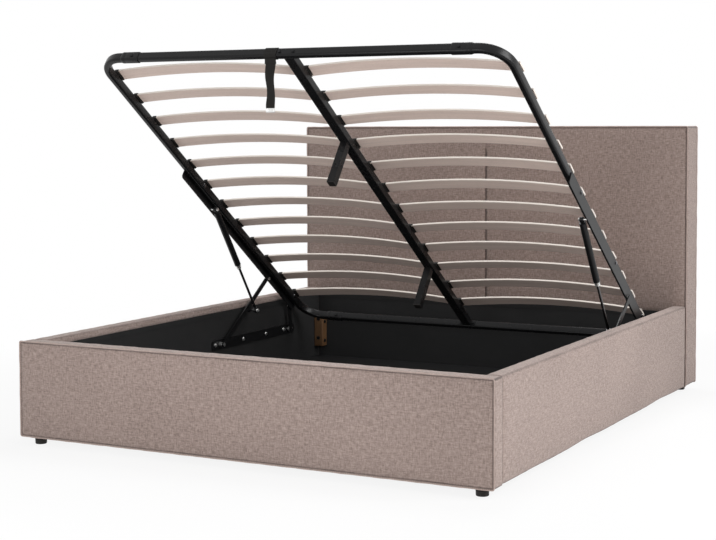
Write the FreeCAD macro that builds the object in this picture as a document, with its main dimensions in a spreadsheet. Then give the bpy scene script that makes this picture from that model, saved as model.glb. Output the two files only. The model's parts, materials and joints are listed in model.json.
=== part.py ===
"""A double bed with a lift-up slatted base, a storage box and an upholstered frame.

X runs across the bed, Y from the foot to the head and Z up.  The origin is on the floor, in the
middle of the footprint.  The slatted base is drawn raised, held open by its two gas struts.
Pieces of the right side are drawn, and the left side is their mirror image.
"""
import FreeCAD, Part
import os
import re
from math import atan2, pi

import Sketcher

# Driving dimensions, in millimetres and degrees
DIMENSIONS = {
    # Upholstered box
    "bed_width": 1900,
    "box_length": 2070,
    "panel_height": 356,
    "side_panel_thickness": 65,
    "foot_panel_thickness": 80,
    "headboard_thickness": 160,
    "headboard_height": 1139,
    "front_padding": 25,
    "side_padding": 22,
    "top_padding": 14,
    "fabric_thickness": 3,
    "fabric_wrap": 28,
    "padding_round": 8,
    "panel_crown": 5,
    "seam_depth": 9,
    "case_board": 16,
    "back_cloth_margin": 30,
    # Feet, floor and corner blocks
    "foot_height": 30,
    "foot_radius": 23,
    "foot_inset": 48,
    "side_foot_inset": 60,
    "middle_foot_inset": 420,
    "batten_width": 40,
    "batten_height": 15,
    "floor_thickness": 5,
    "floor_gap": 2,
    "block_size": 45,
    "block_height": 145,
    "block_lift": 70,
    "block_bolt_inset": 26,
    "block_bolt_offset": 14,
    # Raised base and its tubes
    "raise_angle": 36,
    "frame_side_gap": 34,
    "frame_end_gap": 70,
    "tube_width": 25,
    "tube_height": 36,
    "tube_wall": 1.5,
    "tube_round": 8,
    "bend_radius": 100,
    "joint_inset": 193.5,
    "socket_length": 80,
    "socket_wall": 2,
    "insert_length": 60,
    "fit_clearance": 0.3,
    "centre_tube_width": 40,
    "centre_tube_height": 30,
    "centre_tube_round": 4,
    "flange_width": 76,
    "flange_thickness": 4,
    "flange_bolt_spacing": 56,
    # Slats and their holders
    "slat_rows": 12,
    "first_slat_inset": 148,
    "last_slat_inset": 172.3,
    "slat_width": 53,
    "slat_thickness": 8,
    "slat_bow": 28,
    "slat_end_inset": 0.5,
    "slat_end_gap": 8,
    "holder_wall": 1.8,
    "holder_inset": 12,
    "holder_length": 26,
    "centre_holder_length": 72,
    # Middle legs
    "leg_size": 30,
    "leg_wall": 1.5,
    "leg_length": 183,
    "cap_thickness": 4,
    "cap_plug": 14,
    "front_leg_inset": 555,
    "rear_leg_inset": 517,
    # Lift mechanism
    "rail_thickness": 4,
    "rail_lead": 260,
    "rail_overhang": 28,
    "rail_margin": 12,
    "rail_rise": 10,
    "rail_round": 12,
    "rail_bolt_inset": 130,
    "rail_bolt_spacing": 504,
    "rear_rail_bolt_inset": 65,
    "pivot_drop": 32,
    "pivot_spacing": 248,
    "rear_pivot_inset": 148,
    "base_pivot_height": 185,
    "rear_base_inset": 309.6,
    "rear_link_length": 113.7,
    "rear_link_lean": 97.74,
    "front_link_length": 450,
    "base_rail_height": 44,
    "base_rail_overhang": 62,
    "base_rail_thickness": 4,
    "base_bolt_spacing": 36,
    "link_width": 22,
    "link_thickness": 5,
    "link_gap": 5,
    "pin_radius": 5,
    "pin_shoulder": 8,
    "pin_head_thickness": 3.5,
    "boss_radius": 11,
    "boss_length": 9,
    "bracket_reach": 252,
    "bracket_drop": 18,
    "bracket_radius": 12,
    # Gas struts
    "stud_spacing": 837,
    "stud_offset": 4,
    "stud_radius": 4,
    "stud_tip": 6,
    "strut_offset": 24,
    "barrel_radius": 13.5,
    "barrel_length": 327,
    "barrel_start": 16,
    "collar_radius": 10,
    "collar_length": 18,
    "rod_radius": 5.5,
    "rod_overlap": 20,
    "eye_radius": 10.5,
    "eye_width": 13,
    "blade_height": 12,
    # Bolts
    "bolt_head_radius": 7.5,
    "bolt_head_thickness": 4,
    # Pull strap
    "strap_place": -64.5,
    "loop_width": 51,
    "loop_wall": 2.5,
    "strap_width": 38,
    "strap_thickness": 2.4,
    "strap_length": 176,
    "strap_root_radius": 2.5,
    "clip_width": 35,
    "clip_height": 16,
    "clip_thickness": 5,
}

# Places worked out from the driving dimensions
LAYOUT = {
    # Box
    "half_width": "bed_width / 2",
    "total_length": "foot_panel_thickness + box_length + headboard_thickness",
    "foot_face": "-total_length / 2",
    "box_foot": "foot_face + foot_panel_thickness",
    "box_head": "box_foot + box_length",
    "back_face": "box_head + headboard_thickness",
    "rim": "foot_height + panel_height",
    "headboard_top": "foot_height + headboard_height",
    "lining_top": "rim - fabric_wrap",
    "side_inner": "half_width - side_panel_thickness",
    "crown_chord": "panel_height - 2 * padding_round",
    "crown_radius": "crown_chord ^ 2 / (8 * panel_crown) + panel_crown / 2",
    "batten_top": "foot_height + batten_height",
    "floor_top": "batten_top + floor_thickness",
    "board_length": "(box_length - 2 * floor_gap) / 3",
    "block_bottom": "foot_height + block_lift",
    "block_inner": "side_inner - block_size",
    # Raised base, measured along it from its foot end and square to it from its middle line
    "frame_length": "box_length - frame_end_gap",
    "tube_outer": "side_inner - frame_side_gap",
    "tube_inner": "tube_outer - tube_width",
    "tube_middle": "tube_outer - tube_width / 2",
    "tube_top": "tube_height / 2",
    "bend_middle": "tube_middle - bend_radius",
    "foot_line": "tube_width / 2",
    "head_line": "frame_length - tube_width / 2",
    "joint_reach": "tube_middle - joint_inset",
    "insert_end": "joint_reach + insert_length",
    "slat_pitch": "(frame_length - first_slat_inset - last_slat_inset) / (slat_rows - 1)",
    "slat_seat": "tube_top + holder_wall + fit_clearance",
    "slat_outer": "tube_outer - slat_end_inset",
    "slat_inner": "slat_end_gap / 2",
    "slat_span": "slat_outer - slat_inner",
    "slat_middle": "(slat_outer + slat_inner) / 2",
    "slat_radius": "slat_span ^ 2 / (8 * slat_bow) + slat_bow / 2",
    "slat_reach": "max(centre_holder_length / 2; holder_inset + holder_length)",
    "slat_rise": "4 * slat_bow / slat_span * slat_reach",
    "holder_hole": "slat_thickness + slat_rise + 2 * fit_clearance",
    "holder_top": "tube_top + holder_hole + 2 * holder_wall",
    "centre_tube_under": "tube_top - centre_tube_height",
    "leg_foot": "centre_tube_under - leg_length",
    # Lift mechanism
    "rail_outer": "tube_outer + rail_thickness",
    "link_inner": "rail_outer + link_gap",
    "link_outer": "link_inner + link_thickness",
    "base_rail_inner": "side_inner - base_rail_thickness",
    "rear_pivot_reach": "frame_length - rear_pivot_inset",
    "front_pivot_reach": "rear_pivot_reach - pivot_spacing",
    "stud_reach": "rear_pivot_reach - stud_spacing",
    "stud_drop": "pivot_drop + stud_offset",
    "rail_start": "stud_reach - rail_lead",
    "rail_end": "rear_pivot_reach + rail_overhang",
    "rail_drop": "pivot_drop + rail_margin",
    "base_pivot_z": "foot_height + base_pivot_height",
    "rear_base_y": "box_head - rear_base_inset",
    "rear_pin_y": "rear_base_y + rear_link_length * cos(rear_link_lean)",
    "rear_pin_z": "base_pivot_z + rear_link_length * sin(rear_link_lean)",
    "frame_y": "rear_pin_y - rear_pivot_reach * cos(raise_angle) + pivot_drop * sin(raise_angle)",
    "frame_z": "rear_pin_z + rear_pivot_reach * sin(raise_angle) + pivot_drop * cos(raise_angle)",
    "front_pin_y": "rear_pin_y - pivot_spacing * cos(raise_angle)",
    "front_pin_z": "rear_pin_z + pivot_spacing * sin(raise_angle)",
    "front_link_rise": "front_pin_z - base_pivot_z",
    "front_link_run": "sqrt(front_link_length ^ 2 - front_link_rise ^ 2)",
    "front_link_angle": "atan2(front_link_rise; front_link_run) / 1 deg",
    "front_base_y": "front_pin_y - front_link_run",
    "bracket_y": "front_base_y + bracket_reach * cos(front_link_angle)"
                 " + bracket_drop * sin(front_link_angle)",
    "bracket_z": "base_pivot_z + bracket_reach * sin(front_link_angle)"
                 " - bracket_drop * cos(front_link_angle)",
    # Gas struts and strap
    "strut_middle": "tube_outer - strut_offset",
    "eye_inner": "strut_middle - eye_width / 2",
    "eye_outer": "strut_middle + eye_width / 2",
    "stud_y": "frame_y + stud_reach * cos(raise_angle) - stud_drop * sin(raise_angle)",
    "stud_z": "frame_z - stud_reach * sin(raise_angle) - stud_drop * cos(raise_angle)",
    "strut_length": "sqrt((bracket_y - stud_y) ^ 2 + (bracket_z - stud_z) ^ 2)",
    "strut_angle": "atan2(bracket_z - stud_z; bracket_y - stud_y) / 1 deg",
    "loop_inside": "tube_top + fit_clearance",
    "strap_root_drop": "loop_inside + loop_wall + fit_clearance + strap_root_radius",
    "strap_root_y": "frame_y + foot_line * cos(raise_angle) - strap_root_drop * sin(raise_angle)",
    "strap_root_z": "frame_z - foot_line * sin(raise_angle) - strap_root_drop * cos(raise_angle)",
    "strap_end_z": "strap_root_z - strap_length",
}

V = FreeCAD.Vector
X_AXIS = V(1, 0, 0)
Y_AXIS = V(0, 1, 0)

doc = FreeCAD.newDocument("LiftUpBed")
nodes = []


def make_sheet(name, cells):
    """Fill a spreadsheet with one aliased cell for each named value."""
    sheet = doc.addObject("Spreadsheet::Sheet", name)
    for row, (alias, content) in enumerate(cells.items(), start=1):
        sheet.set(f"A{row}", str(content))
        sheet.setAlias(f"A{row}", alias)
    return sheet


def with_dimensions(text):
    """Write the driving dimensions of a formula as cells of their sheet."""
    return re.sub(r"[a-z_]\w*", lambda m: f"Dims.{m[0]}" if m[0] in DIMENSIONS else m[0], text)


make_sheet("Dims", DIMENSIONS)
layout = make_sheet("Layout", {alias: "=" + with_dimensions(text) for alias, text in LAYOUT.items()})
doc.recompute()


def formula(text):
    """Write every named value of a formula as the cell that holds it."""
    return re.sub(r"(?<![.\w])[a-z_]\w*", lambda m: f"Layout.{m[0]}" if m[0] in LAYOUT else m[0],
                  with_dimensions(str(text)))


def value(text):
    """Give a formula's present value as a number."""
    result = layout.evalExpression(formula(text))
    return float(getattr(result, "Value", result))


def bind(thing, **formulas):
    """Tie properties of an object to formulas."""
    for name, text in formulas.items():
        thing.setExpression(name, formula(text))
    return thing


def place(thing, x="0", y="0", z="0", turn=None, axis=X_AXIS):
    """Tie an object's place, and its turn about an axis, to formulas."""
    for letter, text in zip("xyz", (x, y, z)):
        thing.setExpression(f"Placement.Base.{letter}", formula(text))
    if turn is not None:
        for letter in "xyz":
            thing.setExpression(f"Placement.Rotation.Axis.{letter}", str(getattr(axis, letter)))
        thing.setExpression("Placement.Rotation.Angle", formula(turn))
    return thing


def on_raised_base(thing):
    """Carry a piece drawn flat, with Y along the base and Z square to it, to the raised base."""
    return place(thing, y="frame_y", z="frame_z", turn="-raise_angle")


def node(thing, label):
    """Name a finished sub-part."""
    thing.Label = label
    nodes.append(thing)
    return thing


def mirrored(thing):
    """Mirror a piece of the right side to the left side."""
    image = doc.addObject("Part::Mirroring", "Mirror")
    image.Source = thing
    image.Normal = X_AXIS
    return image


def pair(thing, name, drawn="right", other="left"):
    """Name a piece of one side and its mirror image on the other side."""
    node(thing, f"{drawn}_{name}")
    node(mirrored(thing), f"{other}_{name}")


# Solids from primitives

def box(low, high):
    """Make a box from its lowest and highest corners."""
    thing = doc.addObject("Part::Box", "Block")
    spans = [f"({b}) - ({a})" for a, b in zip(low, high)]
    bind(thing, Length=spans[0], Width=spans[1], Height=spans[2])
    return place(thing, *low)


def turned_along_x(thing, near, y, z):
    """Lay a piece that stands on its end along X."""
    return place(thing, near, y, z, "90", Y_AXIS)


def cross_pin(near, far, radius, y, z):
    """Make a cylinder along X."""
    pin = doc.addObject("Part::Cylinder", "Round")
    return turned_along_x(bind(pin, Radius=radius, Height=f"({far}) - ({near})"), near, y, z)


def along_pin(radius, low, high, x, z):
    """Make a cylinder along Y."""
    pin = doc.addObject("Part::Cylinder", "Round")
    bind(pin, Radius=radius, Height=f"({high}) - ({low})")
    return place(pin, x, low, z, "-90", X_AXIS)


def hexagon(radius, length):
    """Make a hexagonal prism, as of a bolt's head or a nut."""
    prism = doc.addObject("Part::Prism", "Hexagon")
    prism.Polygon = 6
    return bind(prism, Circumradius=radius, Height=length)


def cross_nut(near, far, radius, y, z):
    """Make a hexagonal head or nut along X."""
    return turned_along_x(hexagon(radius, f"({far}) - ({near})"), near, y, z)


def along_nut(radius, low, high, x, z):
    """Make a hexagonal head or nut along Y."""
    return place(hexagon(radius, f"({high}) - ({low})"), x, low, z, "-90", X_AXIS)


def cut(base, *tools):
    """Take tools away from a base."""
    thing = doc.addObject("Part::Cut", "Cut")
    thing.Base = base
    thing.Tool = tools[0] if len(tools) == 1 else group(*tools)
    return thing


def fuse(*solids):
    """Join solids into one piece."""
    thing = doc.addObject("Part::MultiFuse", "Fusion")
    thing.Shapes = list(solids)
    return thing


def group(*solids):
    """Hold separate solids together under one name."""
    thing = doc.addObject("Part::Compound", "Group")
    thing.Links = list(solids)
    return thing


def both_sides(solids):
    """Give solids of the right side together with their mirror images."""
    return list(solids) + [mirrored(solid) for solid in solids]


# Solids from sketches

def new_body():
    """Start a body that may hold several separate solids."""
    body = doc.addObject("PartDesign::Body", "Body")
    body.AllowCompound = True
    return body


def origin_plane(body, role):
    """Find one of a body's own origin planes."""
    return next(item for item in body.Origin.OriginFeatures if item.Role == role)


class Drawing:
    """A sketch on one of a body's origin planes, with every point tied to formulas."""

    def __init__(self, body, role, offset="0", across="0"):
        self.sketch = body.newObject("Sketcher::SketchObject", "Sketch")
        self.sketch.AttachmentSupport = [(origin_plane(body, role), "")]
        self.sketch.MapMode = "FlatFace"
        self.sketch.setExpression("AttachmentOffset.Base.z", formula(offset))
        self.sketch.setExpression("AttachmentOffset.Base.x", formula(across))

    def hold(self, kind, text, *where):
        """Add one constraint whose datum is a formula."""
        index = self.sketch.addConstraint(Sketcher.Constraint(kind, *where, value(text)))
        self.sketch.setExpression(f"Constraints[{index}]", formula(text))

    def pin(self, item, end, x=None, y=None):
        """Hold a point at distances from the origin."""
        if x is not None:
            self.hold("DistanceX", x, -1, 1, item, end)
        if y is not None:
            self.hold("DistanceY", y, -1, 1, item, end)

    def line(self, x0, y0, x1, y1):
        """Draw a line with both ends held."""
        ends = V(value(x0), value(y0), 0), V(value(x1), value(y1), 0)
        item = self.sketch.addGeometry(Part.LineSegment(*ends), False)
        self.pin(item, 1, x0, y0)
        self.pin(item, 2, x1, y1)
        return item

    def path(self, *points):
        """Draw lines from point to point."""
        for start, end in zip(points, points[1:]):
            self.line(*start, *end)

    def bend(self, middle, start, stop, radius):
        """Draw an arc, anticlockwise from one held point to another."""
        x, y = value(middle[0]), value(middle[1])
        angles = [atan2(value(point[1]) - y, value(point[0]) - x) for point in (start, stop)]
        circle = Part.Circle(V(x, y, 0), V(0, 0, 1), value(radius))
        item = self.sketch.addGeometry(Part.ArcOfCircle(circle, *angles), False)
        self.hold("Radius", radius, item)
        self.pin(item, 1, *start)
        self.pin(item, 2, *stop)

    def corner(self, x, y, radius, quarter):
        """Draw a quarter circle round a middle: quarter 0 is right and up, and they go round."""
        right, left = (f"({x}) + ({radius})", y), (f"({x}) - ({radius})", y)
        top, bottom = (x, f"({y}) + ({radius})"), (x, f"({y}) - ({radius})")
        ends = (right, top, left, bottom, right)
        self.bend((x, y), ends[quarter], ends[quarter + 1], radius)

    def circle(self, x, y, radius):
        """Draw a circle."""
        ring = Part.Circle(V(value(x), value(y), 0), V(0, 0, 1), value(radius))
        item = self.sketch.addGeometry(ring, False)
        self.hold("Radius", radius, item)
        self.pin(item, 3, x, y)

    def slot(self, length, radius):
        """Draw a bar with round ends, level from the origin."""
        low, high = f"-({radius})", radius
        self.line("0", low, length, low)
        self.line(length, high, "0", high)
        for middle, turn, start, stop in (("0", pi / 2, high, low), (length, -pi / 2, low, high)):
            circle = Part.Circle(V(value(middle), 0, 0), V(0, 0, 1), value(radius))
            span = Part.ArcOfCircle(circle, turn, turn + pi)
            item = self.sketch.addGeometry(span, False)
            self.pin(item, 1, middle, start)
            self.pin(item, 2, middle, stop)
            self.pin(item, 3, x=middle)

    def rounded(self, left, bottom, right, top, corner):
        """Draw a rectangle with round corners."""
        near, low = f"({left}) + ({corner})", f"({bottom}) + ({corner})"
        far, high = f"({right}) - ({corner})", f"({top}) - ({corner})"
        self.line(near, bottom, far, bottom)
        self.line(right, low, right, high)
        self.line(far, top, near, top)
        self.line(left, high, left, low)
        for quarter, middle in enumerate(((far, high), (near, high), (near, low), (far, low))):
            self.corner(*middle, corner, quarter)

    def eased(self, left, bottom, right, top, corner):
        """Draw a rectangle whose corners are flats that touch a rounding."""
        ease = f"(2 - sqrt(2)) * ({corner})"
        near, low = f"({left}) + {ease}", f"({bottom}) + {ease}"
        far, high = f"({right}) - {ease}", f"({top}) - {ease}"
        self.path((near, bottom), (far, bottom), (right, low), (right, high), (far, top), (near, top),
                  (left, high), (left, low), (near, bottom))

    def rectangle(self, left, bottom, right, top):
        """Draw a rectangle with sharp corners."""
        self.path((left, bottom), (right, bottom), (right, top), (left, top), (left, bottom))

    def tube_section(self, left, bottom, right, top, corner, wall):
        """Draw the wall of a tube: round corners outside and eased corners inside."""
        self.rounded(left, bottom, right, top, corner)
        self.eased(f"({left}) + ({wall})", f"({bottom}) + ({wall})", f"({right}) - ({wall})",
                   f"({top}) - ({wall})", f"({corner}) - ({wall})")


def pad(body, drawing, length, symmetric=False, backwards=False):
    """Extrude a sketch."""
    feature = body.newObject("PartDesign::Pad", "Pad")
    feature.Profile = drawing.sketch
    feature.SideType = "Symmetric" if symmetric else "One side"
    feature.Reversed = backwards
    return bind(feature, Length=length)


def quarter_turn(body, drawing, backwards):
    """Turn a sketch a quarter circle about its own upright axis."""
    feature = body.newObject("PartDesign::Revolution", "Bend")
    feature.Profile = drawing.sketch
    feature.ReferenceAxis = (drawing.sketch, ["V_Axis"])
    feature.Reversed = backwards
    feature.Angle = 90


def rows_of(body, feature):
    """Repeat a feature for each row of slats."""
    pattern = body.newObject("PartDesign::LinearPattern", "Rows")
    pattern.Originals = [feature]
    pattern.Direction = (origin_plane(body, "XZ_Plane"), [""])
    pattern.Reversed = True
    pattern.Mode = "Spacing"
    bind(pattern, Offset="slat_pitch", Occurrences="slat_rows")
    body.Tip = pattern


def plate(near, far, draw):
    """Make a flat piece square to X."""
    body = new_body()
    drawing = Drawing(body, "YZ_Plane", near)
    draw(drawing)
    pad(body, drawing, f"({far}) - ({near})")
    return body


# Upholstered box

def crowned_section(drawing, outer, inner):
    """Draw a padded panel's section: a crowned outer face at the left and round upper edges."""
    edge = f"{outer} + panel_crown"
    near, far = f"{edge} + padding_round", f"{inner} - padding_round"
    low, high = "foot_height + padding_round", "rim - padding_round"
    drawing.path((near, "foot_height"), (inner, "foot_height"), (inner, high))
    drawing.corner(far, high, "padding_round", 0)
    drawing.line(far, "rim", near, "rim")
    drawing.corner(near, high, "padding_round", 1)
    middle = (f"{outer} + crown_radius", "(foot_height + rim) / 2")
    drawing.bend(middle, (edge, high), (edge, low), "crown_radius")
    drawing.corner(near, low, "padding_round", 2)


def foot_panel():
    """The panel at the foot: a board, padded in front, with fabric over the top and the ends."""
    lining = box(("-side_inner", "box_foot - fabric_thickness", "foot_height"),
                 ("side_inner", "box_foot", "lining_top"))
    core = box(("-half_width + side_padding", "foot_face + front_padding",
                "foot_height + fabric_thickness"),
               ("half_width - side_padding", "box_foot - fabric_thickness", "rim - top_padding"))
    block = plate("-half_width", "half_width",
                  lambda drawing: crowned_section(drawing, "foot_face", "box_foot"))
    node(core, "foot_panel_core")
    node(cut(block, core, lining), "foot_panel_cover")
    return lining


def headboard():
    """The headboard: a hollow board case, padded all round, with a cloth over its back."""
    low = ("-half_width + side_padding", "box_head + front_padding", "foot_height + fabric_thickness")
    high = ("half_width - side_padding", "back_face - fabric_thickness", "headboard_top - top_padding")
    shell = box(low, high)
    hollow = box([f"{text} + case_board" for text in low], [f"{text} - case_board" for text in high])
    cloth = box(("-half_width + back_cloth_margin", "back_face - fabric_thickness",
                 "foot_height + back_cloth_margin"),
                ("half_width - back_cloth_margin", "back_face", "headboard_top - back_cloth_margin"))
    lining = box(("-side_inner", "box_head", "foot_height"),
                 ("side_inner", "box_head + fabric_thickness", "lining_top"))
    node(cut(shell, hollow), "headboard_case")
    node(cut(headboard_padding(), shell, cloth, lining), "headboard_cover")
    node(cloth, "headboard_back_cloth")
    return lining


def headboard_padding():
    """The headboard's padding: round upright edges, and a sewn channel up the middle of its face."""
    body = new_body()
    plan = Drawing(body, "XY_Plane", "foot_height")
    left, right = "-half_width + padding_round", "half_width - padding_round"
    near, far = "box_head + padding_round", "back_face - padding_round"
    channel = "box_head + seam_depth"
    plan.line(left, "box_head", "-seam_depth", "box_head")
    plan.corner("-seam_depth", channel, "seam_depth", 3)
    plan.corner("seam_depth", channel, "seam_depth", 2)
    plan.line("seam_depth", "box_head", right, "box_head")
    plan.corner(right, near, "padding_round", 3)
    plan.line("half_width", near, "half_width", far)
    plan.corner(right, far, "padding_round", 0)
    plan.line(right, "back_face", left, "back_face")
    plan.corner(left, far, "padding_round", 1)
    plan.line("-half_width", far, "-half_width", near)
    plan.corner(left, near, "padding_round", 2)
    pad(body, plan, "headboard_height")
    return body


def side_panels():
    """The side panels: boards padded outside, with fabric over the top and a short way down inside."""
    core = box(("-half_width + side_padding", "box_foot", "foot_height + fabric_thickness"),
               ("-side_inner - fabric_thickness", "box_head", "rim - top_padding"))
    lining = box(("-side_inner - fabric_thickness", "box_foot", "foot_height"),
                 ("-side_inner", "box_head", "lining_top"))
    body = new_body()
    drawing = Drawing(body, "XZ_Plane", "-box_foot")
    crowned_section(drawing, "-half_width", "-side_inner")
    pad(body, drawing, "box_length", backwards=True)
    pair(core, "panel_core", "left", "right")
    pair(cut(body, core, lining), "panel_cover", "left", "right")
    return both_sides([lining])


def box_floor():
    """The storage floor: three boards on a batten along each side and one in the middle."""
    side = box(("side_inner - batten_width", "box_foot", "foot_height"),
               ("side_inner", "box_head", "batten_top"))
    middle = box(("-batten_width / 2", "box_foot", "foot_height"),
                 ("batten_width / 2", "box_head", "batten_top"))
    boards = []
    for index in range(3):
        start = f"box_foot + {index} * (board_length + floor_gap)"
        boards.append(box(("-side_inner", start, "batten_top"),
                          ("side_inner", f"{start} + board_length", "floor_top")))
    node(group(*both_sides([side]), middle), "floor_battens")
    node(group(*boards), "floor_boards")


def feet():
    """Short round feet: one under each corner and two under the middle batten."""
    corner = "half_width - side_foot_inset"
    places = [(f"{sign}({corner})", y) for sign in ("-", "")
              for y in ("foot_face + foot_inset", "back_face - foot_inset")]
    places += [("0", "box_foot + middle_foot_inset"), ("0", "box_head - middle_foot_inset")]
    rounds = []
    for x, y in places:
        foot = doc.addObject("Part::Cylinder", "Round")
        rounds.append(place(bind(foot, Radius="foot_radius", Height="foot_height"), x, y))
    node(group(*rounds), "feet")


def corner_blocks():
    """Wooden blocks that join the panels at the corners, each with bolts into both panels."""
    blocks = []
    bolts = []
    levels = ("block_bottom + block_bolt_inset", "block_bottom + block_height - block_bolt_inset")
    for low, high, face, head in (("box_foot", "box_foot + block_size", "box_foot + block_size", 1),
                                  ("box_head - block_size", "box_head", "box_head - block_size", -1)):
        blocks.append(box(("block_inner", low, "block_bottom"),
                          ("side_inner", high, "block_bottom + block_height")))
        ends = (face, f"{face} + bolt_head_thickness")
        if head < 0:
            ends = (f"{face} - bolt_head_thickness", face)
        for level in levels:
            bolts.append(cross_nut("block_inner - bolt_head_thickness", "block_inner",
                                   "bolt_head_radius", f"{low} + block_size / 2", level))
            bolts.append(along_nut("bolt_head_radius", *ends, "side_inner - block_size / 2",
                                   f"{level} + block_bolt_offset"))
    node(group(*both_sides(blocks)), "corner_blocks")
    node(group(*both_sides(bolts)), "corner_bolts")


# Lift mechanism on the box

def base_rail():
    """The rail that carries the lift: a flat bar bolted to the side panel."""
    half = "base_rail_height / 2"
    body = plate("base_rail_inner", "side_inner", lambda drawing: drawing.rounded(
        "front_base_y - base_rail_overhang", f"base_pivot_z - {half}",
        "rear_base_y + base_rail_overhang", f"base_pivot_z + {half}", "rail_round"))
    pair(body, "base_rail")
    third = "(rear_base_y - front_base_y) / 3"
    places = ("front_base_y - base_bolt_spacing", "front_base_y + base_bolt_spacing",
              f"front_base_y + {third}", f"rear_base_y - {third}",
              "rear_base_y - base_bolt_spacing", "rear_base_y + base_bolt_spacing")
    bolts = [cross_nut("base_rail_inner - bolt_head_thickness", "base_rail_inner", "bolt_head_radius",
                       y, "base_pivot_z") for y in places]
    node(group(*both_sides(bolts)), "base_rail_bolts")


def front_base_pivots():
    """The pins that stand on the rails and carry the front links, each with a nut."""
    at = ("front_base_y", "base_pivot_z")
    near, far = "link_inner - fit_clearance", "link_outer + fit_clearance"
    pin = fuse(cross_pin(far, "base_rail_inner", "boss_radius", *at),
               cross_pin(near, far, "pin_radius", *at),
               cross_nut(f"{near} - pin_head_thickness", near, "pin_shoulder", *at))
    node(group(*both_sides([pin])), "front_base_pivots")


def front_link():
    """The long link: a bar with an ear for the strut, and the pin at its upper end."""
    body = new_body()
    drawing = Drawing(body, "YZ_Plane", "link_inner")
    drawing.slot("front_link_length", "link_width / 2")
    drawing.circle("0", "0", "pin_radius + fit_clearance")
    pad(body, drawing, "link_thickness")
    ear = Drawing(body, "YZ_Plane", "link_inner")
    ear.circle("bracket_reach", "-bracket_drop", "bracket_radius")
    pad(body, ear, "link_thickness")
    pair(place(body, y="front_base_y", z="base_pivot_z", turn="front_link_angle"), "front_link")
    at = ("front_pin_y", "front_pin_z")
    near, far = "tube_outer - fit_clearance", "rail_outer + fit_clearance"
    pair(fuse(cross_pin(far, "link_inner", "pin_shoulder", *at),
              cross_pin(near, far, "pin_radius", *at),
              cross_nut(f"{near} - pin_head_thickness", near, "pin_shoulder", *at)),
         "front_link_pin")


def rear_link():
    """The short link, and the pin at its lower end, which stops just short of the rail."""
    def draw(drawing):
        drawing.slot("rear_link_length", "link_width / 2")
        drawing.circle("rear_link_length", "0", "pin_radius + fit_clearance")

    body = plate("link_inner", "link_outer", draw)
    pair(place(body, y="rear_base_y", z="base_pivot_z", turn="rear_link_lean"), "rear_link")
    at = ("rear_base_y", "base_pivot_z")
    step = "link_outer + boss_length"
    pair(fuse(cross_pin("link_outer", step, "boss_radius", *at),
              cross_pin(step, "base_rail_inner - fit_clearance", "pin_radius", *at)),
         "rear_link_pin")


# Gas struts

def on_strut(thing):
    """Carry a piece drawn with Y along the strut to the strut's upper stud."""
    return place(thing, y="stud_y", z="stud_z", turn="strut_angle")


def strut_barrel():
    """The barrel: an eye on the upper stud, the tube and the collar, bored for the rod."""
    x = "strut_middle"
    eye = cross_pin("eye_inner", "eye_outer", "eye_radius", "0", "0")
    hole = cross_pin("eye_inner", "eye_outer", "stud_radius + fit_clearance", "0", "0")
    blade = box(("eye_inner", "0", "-blade_height / 2"), ("eye_outer", "barrel_start", "blade_height / 2"))
    tube = along_pin("barrel_radius", "barrel_start", "barrel_length - collar_length", x, "0")
    collar = along_pin("collar_radius", "barrel_length - collar_length", "barrel_length", x, "0")
    bore = along_pin("rod_radius + fit_clearance", "barrel_start + collar_length", "barrel_length",
                     x, "0")
    pair(on_strut(cut(fuse(eye, blade, tube, collar), bore, hole)), "strut_barrel")


def strut_rod():
    """The rod: its eye at the lower end has a pin that stops just short of the front link."""
    end = "strut_length - barrel_start"
    rod = along_pin("rod_radius", "barrel_length - rod_overlap", end, "strut_middle", "0")
    blade = box(("eye_inner", end, "-blade_height / 2"), ("eye_outer", "strut_length", "blade_height / 2"))
    eye = cross_pin("eye_inner", "eye_outer", "eye_radius", "strut_length", "0")
    pin = cross_pin("eye_outer", "link_inner - fit_clearance", "stud_radius", "strut_length", "0")
    pair(on_strut(fuse(rod, blade, eye, pin)), "strut_rod")


# Raised base, drawn flat

def strut_studs():
    """The studs on the top rails that carry the struts' upper eyes, each with a nut."""
    at = ("stud_reach", "-stud_drop")
    near = "eye_inner - fit_clearance"
    stud = fuse(cross_pin(near, "tube_outer", "stud_radius", *at),
                cross_nut(f"{near} - stud_tip", near, "bolt_head_radius", *at))
    node(on_raised_base(group(*both_sides([stud]))), "strut_studs")


def top_rail():
    """The plate on the outside of a side tube that carries the links and the strut."""
    def draw(drawing):
        drawing.rounded("rail_start", "-rail_drop", "rail_end", "rail_rise", "rail_round")
        drawing.circle("front_pivot_reach", "-pivot_drop", "pin_radius + fit_clearance")

    pair(on_raised_base(plate("tube_outer", "rail_outer", draw)), "top_rail")
    bolts = []
    for y in ("rail_start + rail_bolt_inset", "rail_start + rail_bolt_inset + rail_bolt_spacing",
              "rail_end - rear_rail_bolt_inset"):
        bolts.append(cross_nut("rail_outer", "rail_outer + bolt_head_thickness", "bolt_head_radius",
                               y, "0"))
        bolts.append(cross_nut("tube_inner - bolt_head_thickness", "tube_inner", "bolt_head_radius",
                               y, "0"))
    node(on_raised_base(group(*both_sides(bolts))), "top_rail_bolts")


def rear_link_pivots():
    """The pins on the top rails that carry the rear links, each with a nut."""
    at = ("rear_pivot_reach", "-pivot_drop")
    near, far = "link_inner - fit_clearance", "link_outer + fit_clearance"
    pin = fuse(cross_pin("rail_outer", near, "pin_shoulder", *at),
               cross_pin(near, far, "pin_radius", *at),
               cross_nut(far, f"{far} + pin_head_thickness", "pin_shoulder", *at))
    node(on_raised_base(group(*both_sides([pin]))), "rear_link_pivots")


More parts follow.
